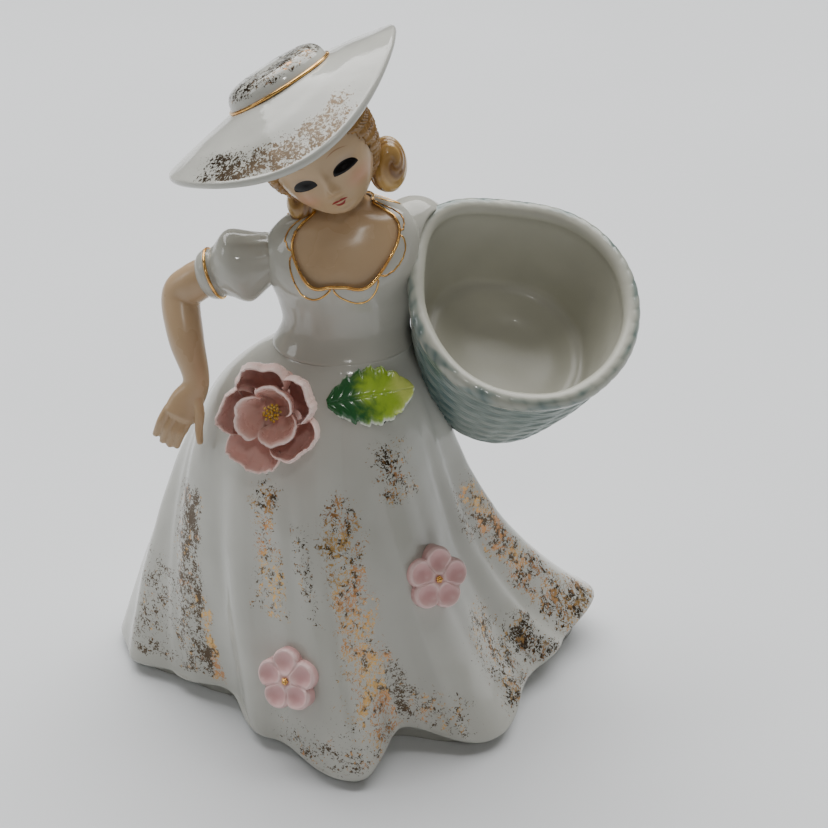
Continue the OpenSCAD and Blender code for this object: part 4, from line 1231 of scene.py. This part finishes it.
def painted_face():
    """Flesh with closed lashes, fine brows, a small mouth and a blush, all put on by brush, and painted shade
    in the eye sockets.
    """
    made, tree, principled = new_material("painted_face", Roughness=0.26, IOR=1.33,
                                          Coat_Weight=0.15, Coat_Roughness=0.15)
    glaze = wavy(tree, principled, 0.3)
    x, y, z = head_sides(tree)
    front = stepped(tree, y, -4.2, -2.8, 1.0, 0.0)
    flesh = blend(tree, glaze.outputs["Tone"], (0.47, 0.325, 0.19, 1), (0.52, 0.375, 0.235, 1))
    left, right = -EYE_X, EYE_X
    blush = maths(tree, "ADD", soft_spot(tree, x, z, left - 1.4, -3.9, 3.8, 3.0),
                  soft_spot(tree, x, z, right + 1.4, -3.9, 3.8, 3.0))
    colour = blend(tree, maths(tree, "MULTIPLY", blush, 0.5), flesh, (0.6, 0.27, 0.17, 1))
    # Painted shade in the eye sockets: a grey darkening over each closed eye.
    painted_socket_shade = maths(tree, "ADD", soft_spot(tree, x, z, left, EYE_Z + 0.9, 3.0, 1.7),
                  soft_spot(tree, x, z, right, EYE_Z + 0.9, 3.0, 1.7))
    colour = blend(tree, maths(tree, "MULTIPLY", painted_socket_shade, 0.4), colour, (0.3, 0.26, 0.25, 1))
    brows = maths(tree, "MAXIMUM", touch(tree, x, z, left - 0.1, BROW_Z, 2.4, 0.1, 0.8, 0.17, 0.17),
                  touch(tree, x, z, right + 0.1, BROW_Z, 2.4, -0.1, 0.8, 0.17, 0.17))
    brows = maths(tree, "MULTIPLY", maths(tree, "MULTIPLY", brows, front), 0.75)
    colour = blend(tree, brows, colour, (0.33, 0.17, 0.09, 1))
    lips = maths(tree, "MAXIMUM", touch(tree, x, z, -0.62, MOUTH_Z + 0.1, 1.05, 0.1, 0.12, 0.42, 0.2, 0.7),
                 touch(tree, x, z, 0.62, MOUTH_Z + 0.1, 1.05, -0.1, 0.12, 0.42, 0.2, 0.7))
    lips = maths(tree, "MAXIMUM", lips,
                 touch(tree, x, z, 0.0, MOUTH_Z - 0.05, 1.1, 0.0, -0.4, 0.22, 0.5, 0.7))
    colour = blend(tree, maths(tree, "MULTIPLY", lips, front), colour, (0.24, 0.012, 0.012, 1))
    lashes = maths(tree, "MAXIMUM",
                   touch(tree, x, z, left, EYE_Z - 0.4, 2.4, 0.06, 0.0, 1.75, 0.3, 0.42),
                   touch(tree, x, z, right, EYE_Z - 0.4, 2.4, -0.06, 0.0, 1.75, 0.3, 0.42))
    lashes = maths(tree, "MULTIPLY", lashes, front)
    colour = blend(tree, lashes, colour, (0.004, 0.003, 0.003, 1))
    tree.links.new(colour, principled.inputs["Base Color"])
    tree.links.new(stepped(tree, lashes, 0, 1, 0.26, 0.22), principled.inputs["Roughness"])
    tree.links.new(stepped(tree, lashes, 0, 1, 0.2, 0.0), principled.inputs["Coat Weight"])
    return made


def hair_paint(name, curled):
    """Golden brown, with darker strokes laid along the locks; on the curls the dark and light are painted
    shade in the spiral groove and at the curl's heart, and painted light towards the top.
    """
    made, tree, principled = new_material(name, Roughness=0.24, IOR=1.5,
                                          Coat_Weight=0.3, Coat_Roughness=0.1)
    where = place(tree)
    if curled:
        # On the curls these streaks are painted light and shade: lighter on top, darker in the spiral groove.
        strokes_and_shade = stepped(tree, mark(tree, "lit"), 0.15, 0.85)
        heart = mark(tree, "heart")
    else:
        flow = add_node(tree, "ShaderNodeUVMap", uv_map="UVMap").outputs[0]
        long = add_node(tree, "ShaderNodeMapping", {"Vector": flow, "Scale": (120.0, 3.0, 1.0),
                                                    "Rotation": (0, 0, 0.25)}).outputs[0]
        strokes_and_shade = stepped(tree, grain(tree, long, 1.0, 3.0, 0.6, 0.4), 0.38, 0.6)
        heart = maths(tree, "MULTIPLY", strokes_and_shade, 0.0)
    cloud = stepped(tree, grain(tree, where, 260.0, 3.0), 0.35, 0.65)
    gold = blend(tree, cloud, (0.42, 0.24, 0.065, 1), (0.56, 0.36, 0.13, 1))
    colour = blend(tree, strokes_and_shade, (0.2, 0.095, 0.03, 1), gold)
    # Painted shade darkens the heart of each curl.
    colour = blend(tree, maths(tree, "MULTIPLY", heart, 0.8), colour, (0.16, 0.07, 0.02, 1))
    tree.links.new(colour, principled.inputs["Base Color"])
    raise_relief(tree, principled, 0.5, 0.0001, strokes_and_shade)
    return made


def petal_clay(name, deep, middle, light, rough):
    """Tinted unglazed clay, paler where it is thin or rubbed."""
    made, tree, principled = new_material(name, Roughness=rough, IOR=1.46,
                                          Coat_Weight=0.12, Coat_Roughness=0.25)
    where = place(tree)
    cloud = stepped(tree, grain(tree, where, 240.0, 4.0, 0.6), 0.35, 0.65)
    body = blend(tree, cloud, middle, tuple(mix(a, b, 0.35) for a, b in zip(middle, light)))
    body = blend(tree, stepped(tree, mark(tree, "reach"), 0.0, 0.45, 0.75, 0.0), body, deep)
    rubbed = stepped(tree, grain(tree, where, 700.0, 3.0), 0.3, 0.6, 0.3, 0.7)
    edge = maths(tree, "MULTIPLY", mark(tree, "pale"), rubbed)
    tree.links.new(blend(tree, edge, body, light), principled.inputs["Base Color"])
    tree.links.new(stepped(tree, cloud, 0, 1, rough - 0.06, rough + 0.08), principled.inputs["Roughness"])
    raise_relief(tree, principled, 0.4, 0.0001, grain(tree, where, 900.0, 3.0))
    return made


def blossom_clay():
    made, tree, principled = new_material("blossom_clay", Roughness=0.36, IOR=1.48,
                                          Coat_Weight=0.2, Coat_Roughness=0.2)
    where = place(tree)
    cloud = stepped(tree, grain(tree, where, 300.0, 3.0), 0.35, 0.65)
    body = blend(tree, cloud, (0.69, 0.375, 0.37, 1), (0.75, 0.45, 0.435, 1))
    # Painted shade in the petal hollows and in the grooves between petals.
    body = blend(tree, maths(tree, "MULTIPLY", mark(tree, "reach"), 0.6), body, (0.6, 0.28, 0.29, 1))
    # Painted highlight on the raised rims, also paler towards the outer edge.
    colour = blend(tree, maths(tree, "MULTIPLY", mark(tree, "pale"), 0.6), body, (0.84, 0.65, 0.63, 1))
    tree.links.new(colour, principled.inputs["Base Color"])
    raise_relief(tree, principled, 0.3, 0.0001, grain(tree, where, 900.0, 3.0))
    return made


def stamen_paint():
    made, tree, principled = new_material("stamen_paint", Roughness=0.4)
    tone = stepped(tree, grain(tree, place(tree), 1200.0), 0.4, 0.6)
    yellow = blend(tree, tone, (0.78, 0.52, 0.06, 1), (0.85, 0.68, 0.2, 1))
    colour = blend(tree, mark(tree, "pollen"), (0.8, 0.76, 0.66, 1), yellow)
    tree.links.new(colour, principled.inputs["Base Color"])
    return made


def leaf_glaze():
    """Dark green at the stem, yellow-green to the tip, chipped white at the teeth."""
    made, tree, principled = new_material("leaf_glaze", Roughness=0.18, IOR=1.5,
                                          Coat_Weight=0.15, Coat_Roughness=0.05)
    where = place(tree)
    cloud = grain(tree, where, 210.0, 4.0, 0.6, 0.5)
    drift = maths(tree, "MULTIPLY", maths(tree, "SUBTRACT", cloud, 0.5), 0.9)
    along = maths(tree, "ADD", mark(tree, "along"), drift)
    green = blend(tree, stepped(tree, along, 0.25, 0.62), (0.018, 0.11, 0.03, 1), (0.33, 0.5, 0.035, 1))
    green = blend(tree, stepped(tree, along, 0.6, 1.0), green, (0.62, 0.7, 0.16, 1))
    green = blend(tree, maths(tree, "MULTIPLY", mark(tree, "vein"), 0.2), green, (0.02, 0.12, 0.03, 1))
    chips = maths(tree, "MULTIPLY", mark(tree, "chip"),
                  stepped(tree, grain(tree, where, 620.0, 3.0), 0.42, 0.55))
    tree.links.new(blend(tree, chips, green, (0.74, 0.78, 0.68, 1)), principled.inputs["Base Color"])
    return made


def gold_line():
    """Burnished gold, thinner and darker in places."""
    made, tree, principled = new_material("burnished_gold", Metallic=1.0, Roughness=0.2)
    where = place(tree)
    worn = stepped(tree, grain(tree, where, 210.0, 3.0, 0.6), 0.42, 0.62)
    colour = blend(tree, worn, (0.86, 0.52, 0.17, 1), (0.62, 0.32, 0.1, 1))
    dark = stepped(tree, grain(tree, where, 330.0, 3.0, 0.6, 0.5), 0.58, 0.7)
    tree.links.new(blend(tree, dark, colour, (0.2, 0.13, 0.07, 1)), principled.inputs["Base Color"])
    tree.links.new(stepped(tree, worn, 0, 1, 0.16, 0.3), principled.inputs["Roughness"])
    return made


def bare_clay():
    made, tree, principled = new_material("bare_clay", Roughness=0.75)
    where = place(tree)
    speck = stepped(tree, grain(tree, where, 900.0, 4.0, 0.7), 0.35, 0.7)
    colour = blend(tree, speck, (0.6, 0.585, 0.55, 1), (0.7, 0.69, 0.66, 1))
    tree.links.new(colour, principled.inputs["Base Color"])
    raise_relief(tree, principled, 0.5, 0.0002, speck)
    return made


def coat(piece, material):
    piece.data.materials.clear()
    piece.data.materials.append(material)


# ---------- Stage ----------

def make_stage():
    bm = bmesh.new()
    bmesh.ops.create_grid(bm, x_segments=2, y_segments=2, size=3.0)
    mesh = bpy.data.meshes.new("table_top")
    bm.to_mesh(mesh)
    bm.free()
    floor = bpy.data.objects.new("table_top", mesh)
    bpy.context.scene.collection.objects.link(floor)
    made, tree, principled = new_material("table_paint", Roughness=0.55)
    tone = stepped(tree, grain(tree, place(tree), 6.0, 3.0), 0.3, 0.7)
    colour = blend(tree, tone, (0.655, 0.67, 0.685, 1), (0.675, 0.69, 0.705, 1))
    tree.links.new(colour, principled.inputs["Base Color"])
    coat(floor, made)


def add_light(name, at, target, size, power, colour=(1, 1, 1)):
    data = bpy.data.lights.new(name, "AREA")
    data.shape = "RECTANGLE"
    data.size, data.size_y = size
    data.energy = power
    data.color = colour
    lamp = bpy.data.objects.new(name, data)
    lamp.location = at
    lamp.rotation_euler = (Vector(target) - Vector(at)).to_track_quat("-Z", "Y").to_euler()
    bpy.context.scene.collection.objects.link(lamp)


def make_lights():
    world = bpy.data.worlds.new("soft_room")
    world.use_nodes = True
    backdrop = world.node_tree.nodes["Background"]
    backdrop.inputs["Color"].default_value = (1.0, 0.95, 0.87, 1)
    backdrop.inputs["Strength"].default_value = 0.14
    bpy.context.scene.world = world
    middle = (0.0, 0.0, 0.07)
    add_light("ceiling_panel", (0.0, 0.55, 1.2), middle, (2.0, 1.3), 43.0)
    add_light("window_left", (-0.9, -0.1, 0.55), middle, (0.25, 0.4), 1.1, (0.95, 0.98, 1.0))
    add_light("lamp_front", (0.12, -0.75, 0.8), middle, (0.07, 0.045), 0.9, (1.0, 0.98, 0.95))


def make_camera():
    data = bpy.data.cameras.new("camera")
    data.sensor_width = 36.0
    data.lens = 67.83
    data.clip_start = 0.01
    seen = bpy.data.objects.new("camera", data)
    seen.location = (0.0153, -0.2743, 0.2190)
    seen.rotation_euler = (math.radians(60), 0, 0)
    bpy.context.scene.collection.objects.link(seen)
    bpy.context.scene.camera = seen


# ---------- The whole piece ----------

def build():
    gilded, white = porcelain(), shaded_porcelain()
    flesh, face = skin_paint(), painted_face()
    coat(make_skirt(), gilded)
    coat(make_hat(), gilded)
    for piece in (make_bodice(), make_sleeve_right(), make_sleeve_left()):
        coat(piece, white)
    for piece in (make_chest(), make_arm_right(), make_arm_left()):
        coat(piece, flesh)
    coat(make_head(), face)
    coat(make_hair(), hair_paint("hair_strokes", False))
    curls = hair_paint("hair_curls", True)
    coat(make_roll("roll_left", "hair_roll_left", (8.6, 2.2, -9.6), (3.6, 3.6, 5.4), 1), curls)
    coat(make_roll("roll_right", "hair_roll_right", (-8.8, 1.6, -8.6), (3.2, 3.2, 4.6), -1), curls)
    coat(make_basket(), basket_glaze())
    rose = petal_clay("rose_clay", (0.84, 0.47, 0.42, 1), (0.92, 0.62, 0.56, 1), (0.94, 0.76, 0.71, 1), 0.3)
    coat(make_rose_pad(), rose)
    for k in range(len(PETALS)):
        coat(make_petal(k), rose)
    coat(make_stamens(), stamen_paint())
    coat(make_leaf(), leaf_glaze())
    pink = blossom_clay()
    coat(make_blossom("blossom_upper_clay", "blossom_upper", UPPER_FRAME, 77), pink)
    coat(make_blossom("blossom_lower_clay", "blossom_lower", LOWER_FRAME, 102), pink)
    gold = gold_line()
    coat(make_bead("bead_upper_gold", "bead_upper", UPPER_FRAME), gold)
    coat(make_bead("bead_lower_gold", "bead_lower", LOWER_FRAME), gold)
    for piece in (make_neckline_gold(), make_cuff_gold(), make_hat_gold()):
        coat(piece, gold)
    coat(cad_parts["base_plate"], bare_clay())


make_camera()
make_lights()
make_stage()
build()
